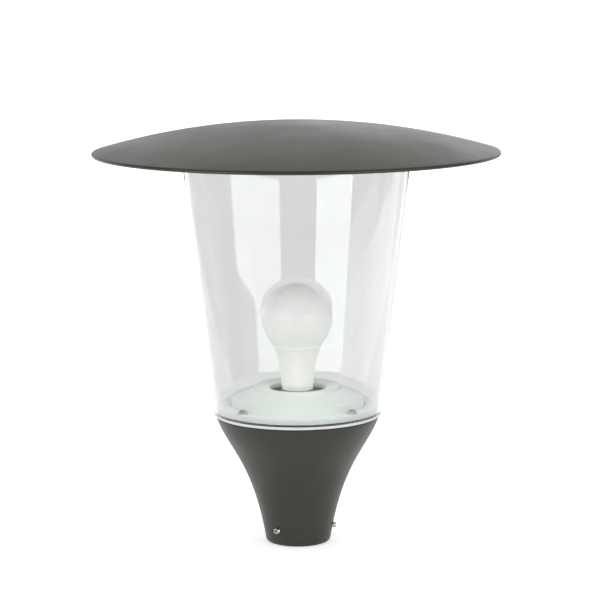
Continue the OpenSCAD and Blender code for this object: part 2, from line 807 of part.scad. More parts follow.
module earth_washer() {
    color("silver")
    translate([earth_at[0], earth_at[1], tray_top + lug_t])
        washer(clamp_hole_r, head_r + 0.3, washer_t);
}

module earth_screw() {
    color("silver")
    translate([earth_at[0], earth_at[1], tray_top + lug_t + washer_t])
        pan_screw(screw_r, lug_t + washer_t + tray_t + tray_thread, head_r, head_h);
}

// Porcelain body: a chamber for the shell, a smaller one for the contact, screw holes below
module lampholder_body() {
    color("white")
    difference() {
        lathe(concat(
            [[0, tray_top], [holder_r - 1, tray_top], [holder_r, tray_top + 1]],
            arc([holder_r - 2, holder_top - 2], 2, 0, 90, 5),
            arc([holder_bore_r + 1, holder_top - 1], 1, 90, 180, 4),
            [
                [holder_bore_r, shell_z], [contact_chamber_r, shell_z],
                [contact_chamber_r, holder_floor], [0, holder_floor]
            ]
        ));
        for (s = [-1, 1])
            translate([0, s * holder_screw_x, tray_top - over])
                cylinder(r = screw_r + thread_gap, h = holder_thread + 2 + over, $fn = 32);
        for (s = [-1, 1])
            translate([s * wire_entry_in, 0, wire_entry_z])
                rotate([0, s * 90, 0])
                    cylinder(r = wire_entry_r, h = holder_r, $fn = 32);
        translate([rivet_x, 0, holder_floor - rivet_len - 0.5])
            cylinder(r = rivet_r + thread_gap, h = rivet_len + over, $fn = 32);
    }
}

// The lampholder's screws come up through the tray
module lampholder_screws() {
    color("silver")
    for (s = [-1, 1])
        translate([0, s * holder_screw_x, tray_z])
            mirror([0, 0, 1])
                pan_screw(screw_r, tray_t + holder_thread, head_r, head_h);
}

// Threaded shell: the wave of the lamp's cap, opened by the running gap
module lampholder_shell() {
    inner = [for (p = wave(shell_gap)) if (p[1] < shell_top - 0.6 && p[1] > shell_z + 1) p];
    color("lightsteelblue")
    lathe(concat(
        [[shell_r, shell_z], [shell_r, shell_top], [shell_r - shell_t, shell_top]],
        inner,
        [
            [cap_r + shell_gap - cap_thread / 2, shell_z + shell_t],
            [contact_chamber_r + 0.3, shell_z + shell_t], [contact_chamber_r + 0.3, shell_z]
        ]
    ));
}

// A leaf spring under the lamp's tip, held by a rivet in the floor
module lampholder_contact() {
    leaf_z = tip_z - 0.1 - contact_t;
    leaf = [
        [rivet_x - 2.2, holder_floor], [rivet_x + 2, holder_floor],
        [-1.5, leaf_z], [1.5, leaf_z], [4.5, leaf_z - 1.2]
    ];
    color("gold")
    union() {
        translate([0, contact_w / 2, 0])
            rotate([90, 0, 0])
                linear_extrude(contact_w)
                    polygon(sheet(leaf, contact_t));
        translate([rivet_x, 0, holder_floor - rivet_len])
            cylinder(r = rivet_r, h = rivet_len + eps, $fn = 32);
        translate([rivet_x, 0, holder_floor + contact_t])
            cylinder(r = rivet_r + 0.8, h = 0.6, $fn = 32);
    }
}

// Lamp, one sealed solid: tip, insulator, threaded cap, tapered housing, seam and globe
module lamp_bulb() {
    globe_z = bulb_z + globe_up;
    seam_z = bulb_z + seam_up;
    join_angle = -35;
    join = [globe_r * cos(join_angle), globe_z + globe_r * sin(join_angle)];
    color("whitesmoke")
    lathe(concat(
        [
            [0, tip_z], [4.2, tip_z], [4.8, tip_z + 0.6], [4.8, tip_z + 1.2],
            [cap_r - 2.2, thread_end_z - 1.2], [cap_r - 1.2, thread_end_z - 0.6]
        ],
        reversed(wave(0)),
        [[cap_r, bulb_z - 3.5], [neck_r - 0.4, bulb_z - 2.5], [neck_r - 0.4, bulb_z]],
        reversed(curve([
            [seam_r, seam_z - 0.3], [neck_r + 1, seam_z - seam_up * 7 / 18],
            [neck_r + 0.1, bulb_z + seam_up / 3], [neck_r, bulb_z + 0.4]
        ], 12)),
        [[seam_r - 0.4, seam_z - 0.1], [seam_r - 0.4, seam_z + 0.1]],
        curve([
            [seam_r, seam_z + 0.3], [seam_r + 1, seam_z + 2.3],
            join - 2.5 * [-sin(join_angle), cos(join_angle)], join
        ], 4),
        [for (i = [1 : 23]) let (a = join_angle + (90 - join_angle) * i / 24)
            [globe_r * cos(a), globe_z + globe_r * sin(a)]],
        [[0, globe_z + globe_r]]
    ));
}

module lower_gasket() {
    color([0.1, 0.1, 0.1])
    flat_ring(gasket_in_r, flare_r, base_h, gasket_t);
}

// Clear moulding: an inward flange, a conical wall and an outward bead at the top
module diffuser() {
    inner_r = cone_r(upper_gasket_z) - wall_level;
    color([0.9, 0.95, 0.95, 0.35])
    difference() {
        lathe([
            [gasket_in_r, flange_z], [diffuser_r - 0.4, flange_z],
            [cone_r(flange_z + 0.4), flange_z + 0.4], [cone_r(bead_z), bead_z],
            [bead_r - 0.5, bead_z], [bead_r, bead_z + 0.5],
            [bead_r, diffuser_top - 0.5], [bead_r - 0.5, diffuser_top],
            [diffuser_top_r - wall_level, diffuser_top],
            [inner_r + 0.1, upper_gasket_z + 0.6], [inner_r - 0.5, upper_gasket_z],
            [gasket_in_r, upper_gasket_z]
        ]);
        for (i = [0 : clamp_screw_n - 1])
            around(clamp_circle_r, clamp_angle(i), flange_z - over)
                cylinder(r = clamp_hole_r, h = flange_t + 2 * over, $fn = 32);
    }
}

module upper_gasket() {
    color([0.1, 0.1, 0.1])
    flat_ring(gasket_in_r, ring_out_r - 0.5, upper_gasket_z, gasket_t);
}

// Pressed sheet: clamped flange, upright wall, domed top, step ring and lamp hole
module lamp_pan() {
    color("white")
    difference() {
        lathe(sheet(pan_path, pan_t));
        for (i = [0 : clamp_screw_n - 1])
            around(clamp_circle_r, clamp_angle(i), pan_z - over)
                cylinder(r = clamp_hole_r, h = pan_t + 2 * over, $fn = 32);
    }
}

module clamp_ring() {
    color("white")
    difference() {
        lathe(concat(
            [[ring_in_r, ring_z], [ring_out_r, ring_z]],
            arc([ring_out_r - ring_edge, ring_top - ring_edge], ring_edge, 0, 90, 5),
            [[ring_in_r + 0.4, ring_top], [ring_in_r, ring_top - 0.4]]
        ));
        for (i = [0 : clamp_screw_n - 1])
            around(clamp_circle_r, clamp_angle(i), ring_z - over)
                cylinder(r = clamp_hole_r, h = ring_t + 2 * over, $fn = 32);
    }
}

module clamp_washers() {
    color("silver")
    for (i = [0 : clamp_screw_n - 1])
        around(clamp_circle_r, clamp_angle(i), ring_top)
            washer(clamp_hole_r, clamp_washer_r, washer_t);
}

module clamp_screws() {
    color("silver")
    for (i = [0 : clamp_screw_n - 1])
        around(clamp_circle_r, clamp_angle(i), ring_top + washer_t)
            pan_screw(screw_r, ring_top + washer_t - base_h + clamp_thread, head_r, head_h);
}

module canopy_seal() {
    color([0.1, 0.1, 0.1])
    translate([0, 0, diffuser_top])
        difference() {
            cylinder(r = bead_r - 0.5, h = seal_t);
            translate([0, 0, -over])
                cylinder(r = seal_in_r, h = seal_t + 2 * over);
        }
}

// Ring between canopy and diffuser: a flat with stud holes and a skirt around the bead
module canopy_ring() {
    color("gainsboro")
    difference() {
        lathe([
            [ring_flat_in_r, ring_flat_z], [skirt_in_r, ring_flat_z], [skirt_in_r, skirt_z],
            [skirt_out_r, skirt_z], [skirt_out_r, ring_flat_top - 0.8],
            [skirt_out_r - 0.8, ring_flat_top], [ring_flat_in_r, ring_flat_top]
        ]);
        for (i = [0 : stud_n - 1])
            around(stud_circle_r, i * 360 / stud_n, ring_flat_z - over)
                cylinder(r = stud_r + hole_gap, h = ring_flat_t + 2 * over, $fn = 32);
        for (i = [0 : stud_n - 1])
            around(skirt_in_r - 2, retain_angle + i * 360 / stud_n, retain_z)
                rotate([90, 0, 0])
                    cylinder(r = screw_r + thread_gap, h = skirt_t + 4, $fn = 32);
    }
}

// The retaining screws' tips reach under the diffuser's bead
module canopy_ring_screws() {
    color("silver")
    for (i = [0 : stud_n - 1])
        around(skirt_out_r, retain_angle + i * 360 / stud_n, retain_z)
            rotate([90, 0, 0])
                pan_screw(screw_r, skirt_out_r - retain_tip_r, head_r, head_h);
}

// Spun dish with a folded hem, and welded bosses with studs under it
module canopy() {
    rim = concat(
        [for (i = [0 : 40]) let (a = hem_angle * i / 40)
            [dish_r * sin(a), dish_z + dish_r * cos(a)]],
        [for (i = [1 : 7]) let (a = 180 * i / 8)
            [hem_mid_r * sin(hem_angle), dish_z + hem_mid_r * cos(hem_angle)]
            + hem_t / 2 * (cos(a) * [sin(hem_angle), cos(hem_angle)]
                           + sin(a) * [cos(hem_angle), -sin(hem_angle)])]
    );
    hem_r = dish_r - hem_t;
    under = concat(
        [for (i = [0 : 3]) let (a = hem_angle - hem_sweep * i / 3)
            [hem_r * sin(a), dish_z + hem_r * cos(a)]],
        [for (i = [0 : 36]) let (a = (hem_angle - hem_sweep) * (1 - i / 36))
            [dish_in_r * sin(a), dish_z + dish_in_r * cos(a)]]
    );
    color("dimgray")
    union() {
        lathe(concat(rim, under));
        for (i = [0 : stud_n - 1])
            around(stud_circle_r, i * 360 / stud_n, ring_flat_top)
                cylinder(r = boss_r, h = dish_under(stud_circle_r) - ring_flat_top + canopy_t / 2,
                         $fn = 48);
        for (i = [0 : stud_n - 1])
            around(stud_circle_r, i * 360 / stud_n, ring_flat_z - stud_below)
                cylinder(r = stud_r, h = stud_below + ring_flat_t + 1, $fn = 32);
    }
}

module canopy_washers() {
    color("silver")
    for (i = [0 : stud_n - 1])
        around(stud_circle_r, i * 360 / stud_n, ring_flat_z - washer_t)
            washer(stud_r + hole_gap, stud_washer_r, washer_t);
}

module canopy_nuts() {
    color("silver")
    for (i = [0 : stud_n - 1])
        around(stud_circle_r, i * 360 / stud_n, ring_flat_z - washer_t - nut_h)
            difference() {
                cylinder(r = nut_r, h = nut_h, $fn = 6);
                translate([0, 0, -over])
                    cylinder(r = stud_r + thread_gap, h = nut_h + 2 * over, $fn = 32);
            }
}

base_casting();
set_screws();
post_grommet();
tray();
tray_screws();
tray_grommet();
cable_clamp();
cable_clamp_screws();
terminal_block();
terminal_tubes();
terminal_screws();
block_screws();
live_wire();
neutral_wire();
earth_wire();
earth_lug();
earth_washer();
earth_screw();
lampholder_body();
lampholder_screws();
lampholder_shell();
lampholder_contact();
lamp_bulb();
lower_gasket();
diffuser();
upper_gasket();
lamp_pan();
clamp_ring();
clamp_screws();
clamp_washers();
canopy_seal();
canopy_ring();
canopy_ring_screws();
canopy();
canopy_washers();
canopy_nuts();
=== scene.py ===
# Post-top street lamp head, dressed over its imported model.
# The sections follow the order in which the lamp head is put together, from the casting up.
# Outlines are given in millimetres, as [radius, height] points, and shape() turns them into
# metres. The named sizes that a tree is given are in metres already.

import math
import bpy
from mathutils import Matrix, Vector


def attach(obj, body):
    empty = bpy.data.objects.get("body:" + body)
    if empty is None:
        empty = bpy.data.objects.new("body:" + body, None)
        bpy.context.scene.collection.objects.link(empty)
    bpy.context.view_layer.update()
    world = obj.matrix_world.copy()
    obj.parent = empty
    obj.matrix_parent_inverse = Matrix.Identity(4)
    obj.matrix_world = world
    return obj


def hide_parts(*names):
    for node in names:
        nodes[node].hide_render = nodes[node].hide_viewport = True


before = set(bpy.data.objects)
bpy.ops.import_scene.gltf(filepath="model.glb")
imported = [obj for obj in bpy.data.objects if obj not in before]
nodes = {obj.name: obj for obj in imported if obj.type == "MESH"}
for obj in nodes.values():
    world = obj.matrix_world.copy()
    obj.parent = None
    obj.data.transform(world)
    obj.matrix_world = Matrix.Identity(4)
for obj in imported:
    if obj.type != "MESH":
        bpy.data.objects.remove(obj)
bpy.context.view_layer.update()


# Spigot casting. One aluminium casting: a flared skin, a sleeve for the post inside it, and
# three posts for the tray. It is machined at the seat and the socket, drilled and tapped,
# and coated in graphite powder with a fine, slightly sandy grain.

def add(tree, kind, links=None, **settings):
    """Adds a node to a tree, and joins or fills its sockets."""
    made = tree.nodes.new(kind)
    for key, value in settings.items():
        setattr(made, key, value)
    for key, value in (links or {}).items():
        if isinstance(value, bpy.types.NodeSocket):
            tree.links.new(value, made.inputs[key])
        else:
            made.inputs[key].default_value = value
    return made


def sums(tree, operation, a, b=0.0):
    """One step of arithmetic in a tree."""
    return add(tree, "ShaderNodeMath", {0: a, 1: b}, operation=operation).outputs[0]


def finish(name, dark, light, rough, grain, depth, blotch=40.0, **fixed):
    """A finish: two tones in soft blotches, uneven gloss and a fine raised grain."""
    made = bpy.data.materials.new(name)
    made.use_nodes = True
    tree = made.node_tree
    shader = tree.nodes["Principled BSDF"]
    for key, value in fixed.items():
        shader.inputs[key.replace("_", " ")].default_value = value
    place = add(tree, "ShaderNodeTexCoord").outputs["Object"]
    cloud = add(tree, "ShaderNodeTexNoise", {"Vector": place, "Scale": blotch, "Detail": 3.0})
    fine = add(tree, "ShaderNodeTexNoise", {"Vector": place, "Scale": grain, "Detail": 2.0})
    tone = add(tree, "ShaderNodeValToRGB", {"Fac": cloud.outputs["Fac"]})
    tone.color_ramp.elements[0].position, tone.color_ramp.elements[1].position = 0.35, 0.65
    tone.color_ramp.elements[0].color, tone.color_ramp.elements[1].color = dark, light
    gloss = add(tree, "ShaderNodeMapRange", {
        "Value": cloud.outputs["Fac"], "From Min": 0.3, "From Max": 0.7,
        "To Min": rough[0], "To Max": rough[1]})
    raised = add(tree, "ShaderNodeBump", {
        "Height": fine.outputs["Fac"], "Strength": 1.0, "Distance": depth})
    tree.links.new(tone.outputs["Color"], shader.inputs["Base Color"])
    tree.links.new(gloss.outputs["Result"], shader.inputs["Roughness"])
    tree.links.new(raised.outputs["Normal"], shader.inputs["Normal"])
    return made


def bezier(points, n):
    """A cubic curve of n steps through [radius, height] handles."""
    a, b, c, d = (Vector(p) for p in points)
    made = []
    for i in range(n + 1):
        t = i / n
        s = 1 - t
        made.append(tuple(s ** 3 * a + 3 * s ** 2 * t * b + 3 * s * t * t * c + t ** 3 * d))
    return made


def arc(centre, radius, start, end, n):
    """An arc of n steps about a centre, between two angles in degrees."""
    angles = [math.radians(start + (end - start) * i / n) for i in range(n + 1)]
    return [(centre[0] + radius * math.cos(a), centre[1] + radius * math.sin(a)) for a in angles]


def shifted(path, distance):
    """A path moved sideways to its left, mitred at the bends."""
    steps = [(Vector(b) - Vector(a)).normalized() for a, b in zip(path, path[1:])]
    moved = []
    for i, point in enumerate(path):
        a, b = steps[max(i - 1, 0)], steps[min(i, len(steps) - 1)]
        side = (a.orthogonal() + b.orthogonal()) / (1 + a.dot(b))
        if a.x * side.y - a.y * side.x < 0:
            side = -side
        moved.append(tuple(Vector(point) + distance * side))
    return moved


def eased(outline, radius, closed=True, steps=3):
    """Rounds an outline's corners, with a holding point past each end of a rounding."""
    nearly_straight, shortest_hold = math.radians(155), 0.01
    made = []
    count = len(outline)
    for i in range(count):
        here = Vector(outline[i][:2])
        if not closed and i in (0, count - 1):
            made.append(tuple(here))
            continue
        before = Vector(outline[i - 1][:2]) - here
        after = Vector(outline[(i + 1) % count][:2]) - here
        inside = before.angle(after)
        want = outline[i][2] if len(outline[i]) > 2 else radius
        if inside > nearly_straight or want == 0:
            made.append(tuple(here))
            continue
        room = 0.45 * min(before.length, after.length)
        reach = min(want / math.tan(inside / 2), room)
        start, end = here + before.normalized() * reach, here + after.normalized() * reach
        hold = min(0.6 * reach, room - reach)
        if hold > shortest_hold:
            made.append(tuple(start + before.normalized() * hold))
        for k in range(steps + 1):
            t = k / steps
            made.append(tuple((1 - t) ** 2 * start + 2 * (1 - t) * t * here + t * t * end))
        if hold > shortest_hold:
            made.append(tuple(end + after.normalized() * hold))
    return made


def start_tree(title, given):
    """Opens a geometry tree with one named input for each given size or finish."""
    tree = bpy.data.node_groups.new(title, "GeometryNodeTree")
    tree.interface.new_socket("Outline", in_out="INPUT", socket_type="NodeSocketGeometry")
    for key, value in given.items():
        kind = {int: "Int", float: "Float"}.get(type(value), "Material")
        tree.interface.new_socket(key, in_out="INPUT", socket_type="NodeSocket" + kind)
    tree.interface.new_socket("Piece", in_out="OUTPUT", socket_type="NodeSocketGeometry")
    return tree, tree.nodes.new("NodeGroupInput").outputs


def turn(tree, outline, sides, rows, start=0):
    """Turns rows of the outline's points once about the post's axis, and closes the seam."""
    index = add(tree, "GeometryNodeInputIndex").outputs["Index"]
    row = add(tree, "FunctionNodeIntegerMath", {0: index, 1: rows}, operation="MODULO").outputs[0]
    row = add(tree, "FunctionNodeIntegerMath", {0: row, 1: start}, operation="ADD").outputs[0]
    column = add(tree, "FunctionNodeIntegerMath", {0: index, 1: rows},
                 operation="DIVIDE_FLOOR").outputs[0]
    places = add(tree, "GeometryNodeInputPosition").outputs["Position"]
    sample = add(tree, "GeometryNodeSampleIndex", data_type="FLOAT_VECTOR", domain="POINT")
    tree.links.new(outline, sample.inputs["Geometry"])
    tree.links.new(places, sample.inputs["Value"])
    tree.links.new(row, sample.inputs["Index"])
    point = add(tree, "ShaderNodeSeparateXYZ", {0: sample.outputs["Value"]})
    turned = sums(tree, "MULTIPLY", sums(tree, "DIVIDE", column, sides), 2 * math.pi)
    place = add(tree, "ShaderNodeCombineXYZ", {
        "X": sums(tree, "MULTIPLY", point.outputs["X"], sums(tree, "COSINE", turned)),
        "Y": sums(tree, "MULTIPLY", point.outputs["X"], sums(tree, "SINE", turned)),
        "Z": point.outputs["Z"]})
    around = add(tree, "FunctionNodeIntegerMath", {0: sides, 1: 1}, operation="ADD").outputs[0]
    grid = add(tree, "GeometryNodeMeshGrid", {"Vertices X": around, "Vertices Y": rows})
    laid = add(tree, "GeometryNodeSetPosition", {
        "Geometry": grid.outputs["Mesh"], "Position": place.outputs[0]})
    return add(tree, "GeometryNodeMergeByDistance", {
        "Geometry": laid.outputs[0], "Distance": 1e-6}).outputs[0]


def ring(tree, shape, count, circle, height, first, tilt=0.0):
    """Repeats a shape on a circle, by angles from the front towards +X."""
    index = add(tree, "GeometryNodeInputIndex").outputs["Index"]
    step = sums(tree, "MULTIPLY", sums(tree, "DIVIDE", index, count), 2 * math.pi)
    angle = sums(tree, "ADD", step, sums(tree, "RADIANS", first))
    back = sums(tree, "MULTIPLY", sums(tree, "COSINE", angle), -1.0)
    place = add(tree, "ShaderNodeCombineXYZ", {
        "X": sums(tree, "MULTIPLY", circle, sums(tree, "SINE", angle)),
        "Y": sums(tree, "MULTIPLY", circle, back),
        "Z": height})
    points = add(tree, "GeometryNodePoints", {"Count": count, "Position": place.outputs[0]})
    facing = add(tree, "ShaderNodeCombineXYZ", {
        "X": sums(tree, "RADIANS", tilt), "Z": angle})
    turned = add(tree, "FunctionNodeEulerToRotation", {0: facing.outputs[0]})
    placed = add(tree, "GeometryNodeInstanceOnPoints", {
        "Points": points.outputs[0], "Instance": shape, "Rotation": turned.outputs[0]})
    return add(tree, "GeometryNodeRealizeInstances", {0: placed.outputs[0]}).outputs[0]


def peg(tree, radius, bottom, top, sides=32):
    """An upright round solid between two heights of its own."""
    tall = sums(tree, "SUBTRACT", top, bottom)
    made = add(tree, "GeometryNodeMeshCylinder", {
        "Vertices": sides, "Radius": radius, "Depth": tall}).outputs["Mesh"]
    middle = add(tree, "ShaderNodeCombineXYZ", {
        "Z": sums(tree, "MULTIPLY", sums(tree, "ADD", top, bottom), 0.5)})
    return add(tree, "GeometryNodeTransform", {
        "Geometry": made, "Translation": middle.outputs[0]}).outputs[0]


def combine(tree, operation, *parts):
    """One solid from several, by DIFFERENCE, UNION or INTERSECT."""
    made = add(tree, "GeometryNodeMeshBoolean", operation=operation, solver="EXACT")
    rest = parts
    if operation == "DIFFERENCE":
        tree.links.new(parts[0], made.inputs["Mesh 1"])
        rest = parts[1:]
    for part in rest:
        tree.links.new(part, made.inputs["Mesh 2"])
    return made.outputs["Mesh"]


def end_tree(tree, geometry, material, sharp=38.0, zones=()):
    """Smooths all but the sharp edges and gives the finish, with others in zones by height."""
    angle = add(tree, "GeometryNodeInputMeshEdgeAngle").outputs["Unsigned Angle"]
    crease = add(tree, "FunctionNodeCompare", {0: angle, 1: math.radians(sharp)},
                 operation="GREATER_THAN").outputs[0]
    smooth = add(tree, "GeometryNodeSetShadeSmooth", {"Geometry": geometry, "Shade Smooth": True})
    marked = add(tree, "GeometryNodeSetShadeSmooth", {
        "Geometry": smooth.outputs[0], "Selection": crease, "Shade Smooth": False}, domain="EDGE")
    real = add(tree, "GeometryNodeRealizeInstances", {0: marked.outputs[0]})
    dressed = add(tree, "GeometryNodeSetMaterial", {0: real.outputs[0], "Material": material})
    height = add(tree, "ShaderNodeSeparateXYZ", {
        0: add(tree, "GeometryNodeInputPosition").outputs[0]}).outputs["Z"]
    for test, edge, other in zones:
        zone = add(tree, "FunctionNodeCompare", {0: height, 1: edge}, operation=test).outputs[0]
        dressed = add(tree, "GeometryNodeSetMaterial", {
            0: dressed.outputs[0], "Selection": zone, "Material": other})
    tree.links.new(dressed.outputs[0], tree.nodes.new("NodeGroupOutput").inputs[0])


def area(outline):
    """Twice an outline's area, which is above zero when it runs anticlockwise."""
    return sum(a[0] * b[1] - b[0] * a[1] for a, b in zip(outline, outline[1:] + outline[:1]))


def shape(name, tree, given, *outlines):
    """Runs a tree on outlines of [radius, height] and keeps the result as a plain mesh."""
    points = []
    for outline in outlines:
        ordered = outline if area(outline) > 0 else outline[::-1]
        if ordered[0][0] > 0:
            ordered = ordered + ordered[:1]
        points += [(r / 1000, 0, z / 1000) for r, z in ordered]
    mesh = bpy.data.meshes.new(name)
    mesh.from_pydata(points, [], [])
    piece = bpy.data.objects.new(name, mesh)
    bpy.context.scene.collection.objects.link(piece)
    modifier = piece.modifiers.new("shape", "NODES")
    modifier.node_group = tree
    for socket in tree.interface.items_tree:
        if socket.in_out == "INPUT" and socket.name in given:
            modifier[socket.identifier] = given[socket.name]
    graph = bpy.context.evaluated_depsgraph_get()
    plain = bpy.data.meshes.new_from_object(piece.evaluated_get(graph), depsgraph=graph)
    piece.modifiers.clear()
    piece.data = plain
    return piece


def rows(outline):
    """How many points shape() lays down for an outline, its closing point included."""
    return len(outline) + (1 if outline[0][0] > 0 and outline[-1][0] > 0 else 0)


def keep(piece, slot, *replaced):
    """Puts a piece on the lamp head's one body, in place of its plain solids."""
    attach(piece, "root")
    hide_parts(*replaced)


graphite = finish("graphite_powder_coat", (0.0120, 0.0122, 0.0080, 1), (0.0146, 0.0149, 0.0102, 1),
                  (0.38, 0.46), 2600.0, 0.00006, blotch=18.0, Specular_IOR_Level=0.45,
                  Specular_Tint=(1.0, 1.0, 0.92, 1))
seat_z, seat_r, mouth_r = 112, 71.2, 58
collar_r, foot_h, foot_ease = 28.6, 4.6, 3.2
bore_r, bore_top = 24.5, 60
sleeve_r, sleeve_top, pocket_r, cast_wall = 28.5, 64, 32.5, 4.0
cable_r, recess_r, recess_top = 9, 11.1, 61.6
flare = bezier([(seat_r, seat_z), (61.4, 83.5), (40.5, 72.6), (collar_r, foot_h)], 56)
foot_edge = [(collar_r - foot_ease * (1 - math.cos(math.radians(a))),
              foot_h * (1 - math.sin(math.radians(a)))) for a in range(10, 81, 10)]
outside = [(bore_r, 0), (collar_r - foot_ease, 0)] + (flare + foot_edge)[::-1]
skin = shifted(flare, -cast_wall)
low = next(i for i, p in enumerate(skin) if p[0] < mouth_r)
above, below = skin[low - 1], skin[low]
mouth_foot = above[1] + (below[1] - above[1]) * (above[0] - mouth_r) / (above[0] - below[0])
pocket = [p for p in skin[low:] if p[0] > pocket_r]
floor_z = pocket[-1][1]
casting_outline = eased(
    outside[:-1]
    + [(seat_r, seat_z, 0.3), (mouth_r, seat_z, 0.3), (mouth_r, mouth_foot, 0)] + pocket[:-1]
    + [(pocket_r + 0.1, floor_z, 0), (sleeve_r, floor_z, 1.5), (sleeve_r, sleeve_top, 0.8),
       (cable_r, sleeve_top, 0.3), (cable_r, recess_top, 0.2), (recess_r, recess_top, 0.2),
       (recess_r, bore_top, 0.3), (bore_r, bore_top, 0.5)], 0.4)
solid_outline = [(0, 0)] + outside[1:] + [(0, seat_z)]
casting_sizes = {
    "Sides": 192, "Skin rows": rows(casting_outline), "Solid rows": rows(solid_outline),
    "Post count": 3, "Post circle": 0.04235, "Post radius": 0.005,
    "Post foot": floor_z / 1000 - 0.001, "Post top": 0.0825, "Post thread": 0.012,
    "Thread radius": 0.0021, "Clamp count": 4, "Clamp circle": 0.06464, "Clamp first": 45.0,
    "Clamp thread": 0.0065, "Drill clearance": 0.001, "Set screw count": 3,
    "Set screw radius": 0.0026, "Set screw height": 0.014, "Set screw first": -36.0,
    "Set screw from": 0.02, "Set screw to": 0.036, "Seat height": seat_z / 1000,
    "Finish": graphite}
tree, given = start_tree("spigot casting", casting_sizes)
body = turn(tree, given["Outline"], given["Sides"], given["Skin rows"])
block = turn(tree, given["Outline"], given["Sides"], given["Solid rows"], given["Skin rows"])
posts = ring(tree, peg(tree, given["Post radius"], given["Post foot"], given["Post top"]),
             given["Post count"], given["Post circle"], 0.0, 0.0)
posts = combine(tree, "INTERSECT", posts, block)
body = combine(tree, "UNION", body, posts)
post_holes = ring(tree, peg(tree, given["Thread radius"],
                            sums(tree, "SUBTRACT", given["Post top"], given["Post thread"]),
                            sums(tree, "ADD", given["Post top"], given["Drill clearance"])),
                  given["Post count"], given["Post circle"], 0.0, 0.0)
seat_holes = ring(tree, peg(tree, given["Thread radius"],
                            sums(tree, "SUBTRACT", given["Seat height"], given["Clamp thread"]),
                            sums(tree, "ADD", given["Seat height"], given["Drill clearance"])),
                  given["Clamp count"], given["Clamp circle"], 0.0, given["Clamp first"])
side_holes = ring(tree, peg(tree, given["Set screw radius"], given["Set screw from"],
                            given["Set screw to"]),
                  given["Set screw count"], 0.0, given["Set screw height"],
                  given["Set screw first"], 90.0)
body = combine(tree, "DIFFERENCE", body, post_holes, seat_holes, side_holes)
end_tree(tree, body, given["Finish"])
keep(shape("spigot_casting", tree, casting_sizes, casting_outline, solid_outline),
     "graphite_coat", "base_casting")


# Set screws. Three stainless grub screws with a hexagon socket and a rolled thread. They are
# turned in through the collar to bite on the post, and stand a little proud of it.

def threaded(radius, start, end, pitch, depth):
    """The outline of a thread, from one height to another."""
    count = max(1, int(abs(end - start) / pitch))
    step = (end - start) / count
    made = []
    for i in range(count):
        made += [(radius - depth, start + step * (i + 0.1)), (radius, start + step * (i + 0.45)),
                 (radius, start + step * (i + 0.6)), (radius - depth, start + step * (i + 0.95))]
    return made


stainless = finish("stainless_steel", (0.46, 0.46, 0.45, 1), (0.56, 0.56, 0.55, 1), (0.24, 0.36),
                   1500.0, 0.00001, blotch=300.0, Metallic=1.0)
grub_r, grub_len = 2.5, 8
grub_outline = ([(0, 0), (1.5, 0), (grub_r - 0.25, 0.9)]
                + threaded(grub_r, 1.1, grub_len - 0.6, 0.8, 0.25)
                + [(grub_r - 0.4, grub_len), (0, grub_len)])
grub_sizes = {"Sides": 40, "Rows": rows(grub_outline), "Count": 3, "Circle": 0.025, "Height": 0.014,
              "First angle": -36.0, "Socket radius": 0.00145, "Socket bottom": 0.0055,
              "Socket top": 0.012, "Finish": stainless}
tree, given = start_tree("set screws", grub_sizes)
screw = combine(tree, "DIFFERENCE", turn(tree, given["Outline"], given["Sides"], given["Rows"]),
                peg(tree, given["Socket radius"], given["Socket bottom"], given["Socket top"], 6))
end_tree(tree, ring(tree, screw, given["Count"], given["Circle"], given["Height"],
                    given["First angle"], 90.0), given["Finish"])
keep(shape("set_screws_dressed", tree, grub_sizes, grub_outline), "stainless", "set_screws")


# Tray, its screws and the rubber grommets. A zinc-plated steel plate on the casting's posts,
# which carries the lampholder and the wiring. Grommets line the two cable holes.

zinc = finish("zinc_plated_steel", (0.50, 0.51, 0.52, 1), (0.66, 0.67, 0.68, 1), (0.3, 0.45),
              900.0, 0.00002, blotch=120.0, Metallic=1.0)
rubber = finish("black_rubber", (0.012, 0.012, 0.012, 1), (0.022, 0.022, 0.022, 1), (0.6, 0.72),
                1800.0, 0.00003, blotch=90.0)


def dress(material, *names):
    """Gives carried-over solids their finish."""
    for name in names:
        nodes[name].data.materials.clear()
        nodes[name].data.materials.append(material)


dress(zinc, "tray")
dress(stainless, "tray_screws", "lampholder_screws", "cable_clamp_screws", "block_screws",
      "terminal_screws", "earth_screw", "earth_washer")
dress(rubber, "post_grommet", "tray_grommet")


# Wiring on the tray. A moulded cable clamp and terminal block with brass tubes, three lengths
# of insulated flex to the lampholder and to earth, and a crimped lug.

moulded = finish("moulded_plastic", (0.66, 0.65, 0.60, 1), (0.72, 0.71, 0.67, 1), (0.38, 0.5),
                 1300.0, 0.00002, blotch=60.0)
brass = finish("brass", (0.60, 0.44, 0.17, 1), (0.72, 0.54, 0.24, 1), (0.22, 0.38), 1200.0, 0.00001,
               blotch=250.0, Metallic=1.0)
dress(moulded, "cable_clamp", "terminal_block")
dress(brass, "terminal_tubes", "earth_lug", "lampholder_contact")
for lead, dark_tone, light_tone in (
        ("live", (0.13, 0.05, 0.02, 1), (0.17, 0.065, 0.027, 1)),
        ("neutral", (0.03, 0.12, 0.42, 1), (0.04, 0.15, 0.5, 1)),
        ("earth", (0.18, 0.42, 0.04, 1), (0.24, 0.5, 0.06, 1))):
    insulation = finish(lead + "_insulation", dark_tone, light_tone, (0.35, 0.5), 1500.0, 0.00002)
    dress(insulation, lead + "_wire")


# Lampholder. A glazed porcelain body with a plated, threaded shell for the lamp's cap and a
# leaf contact under it. Screws hold it to the tray from below.

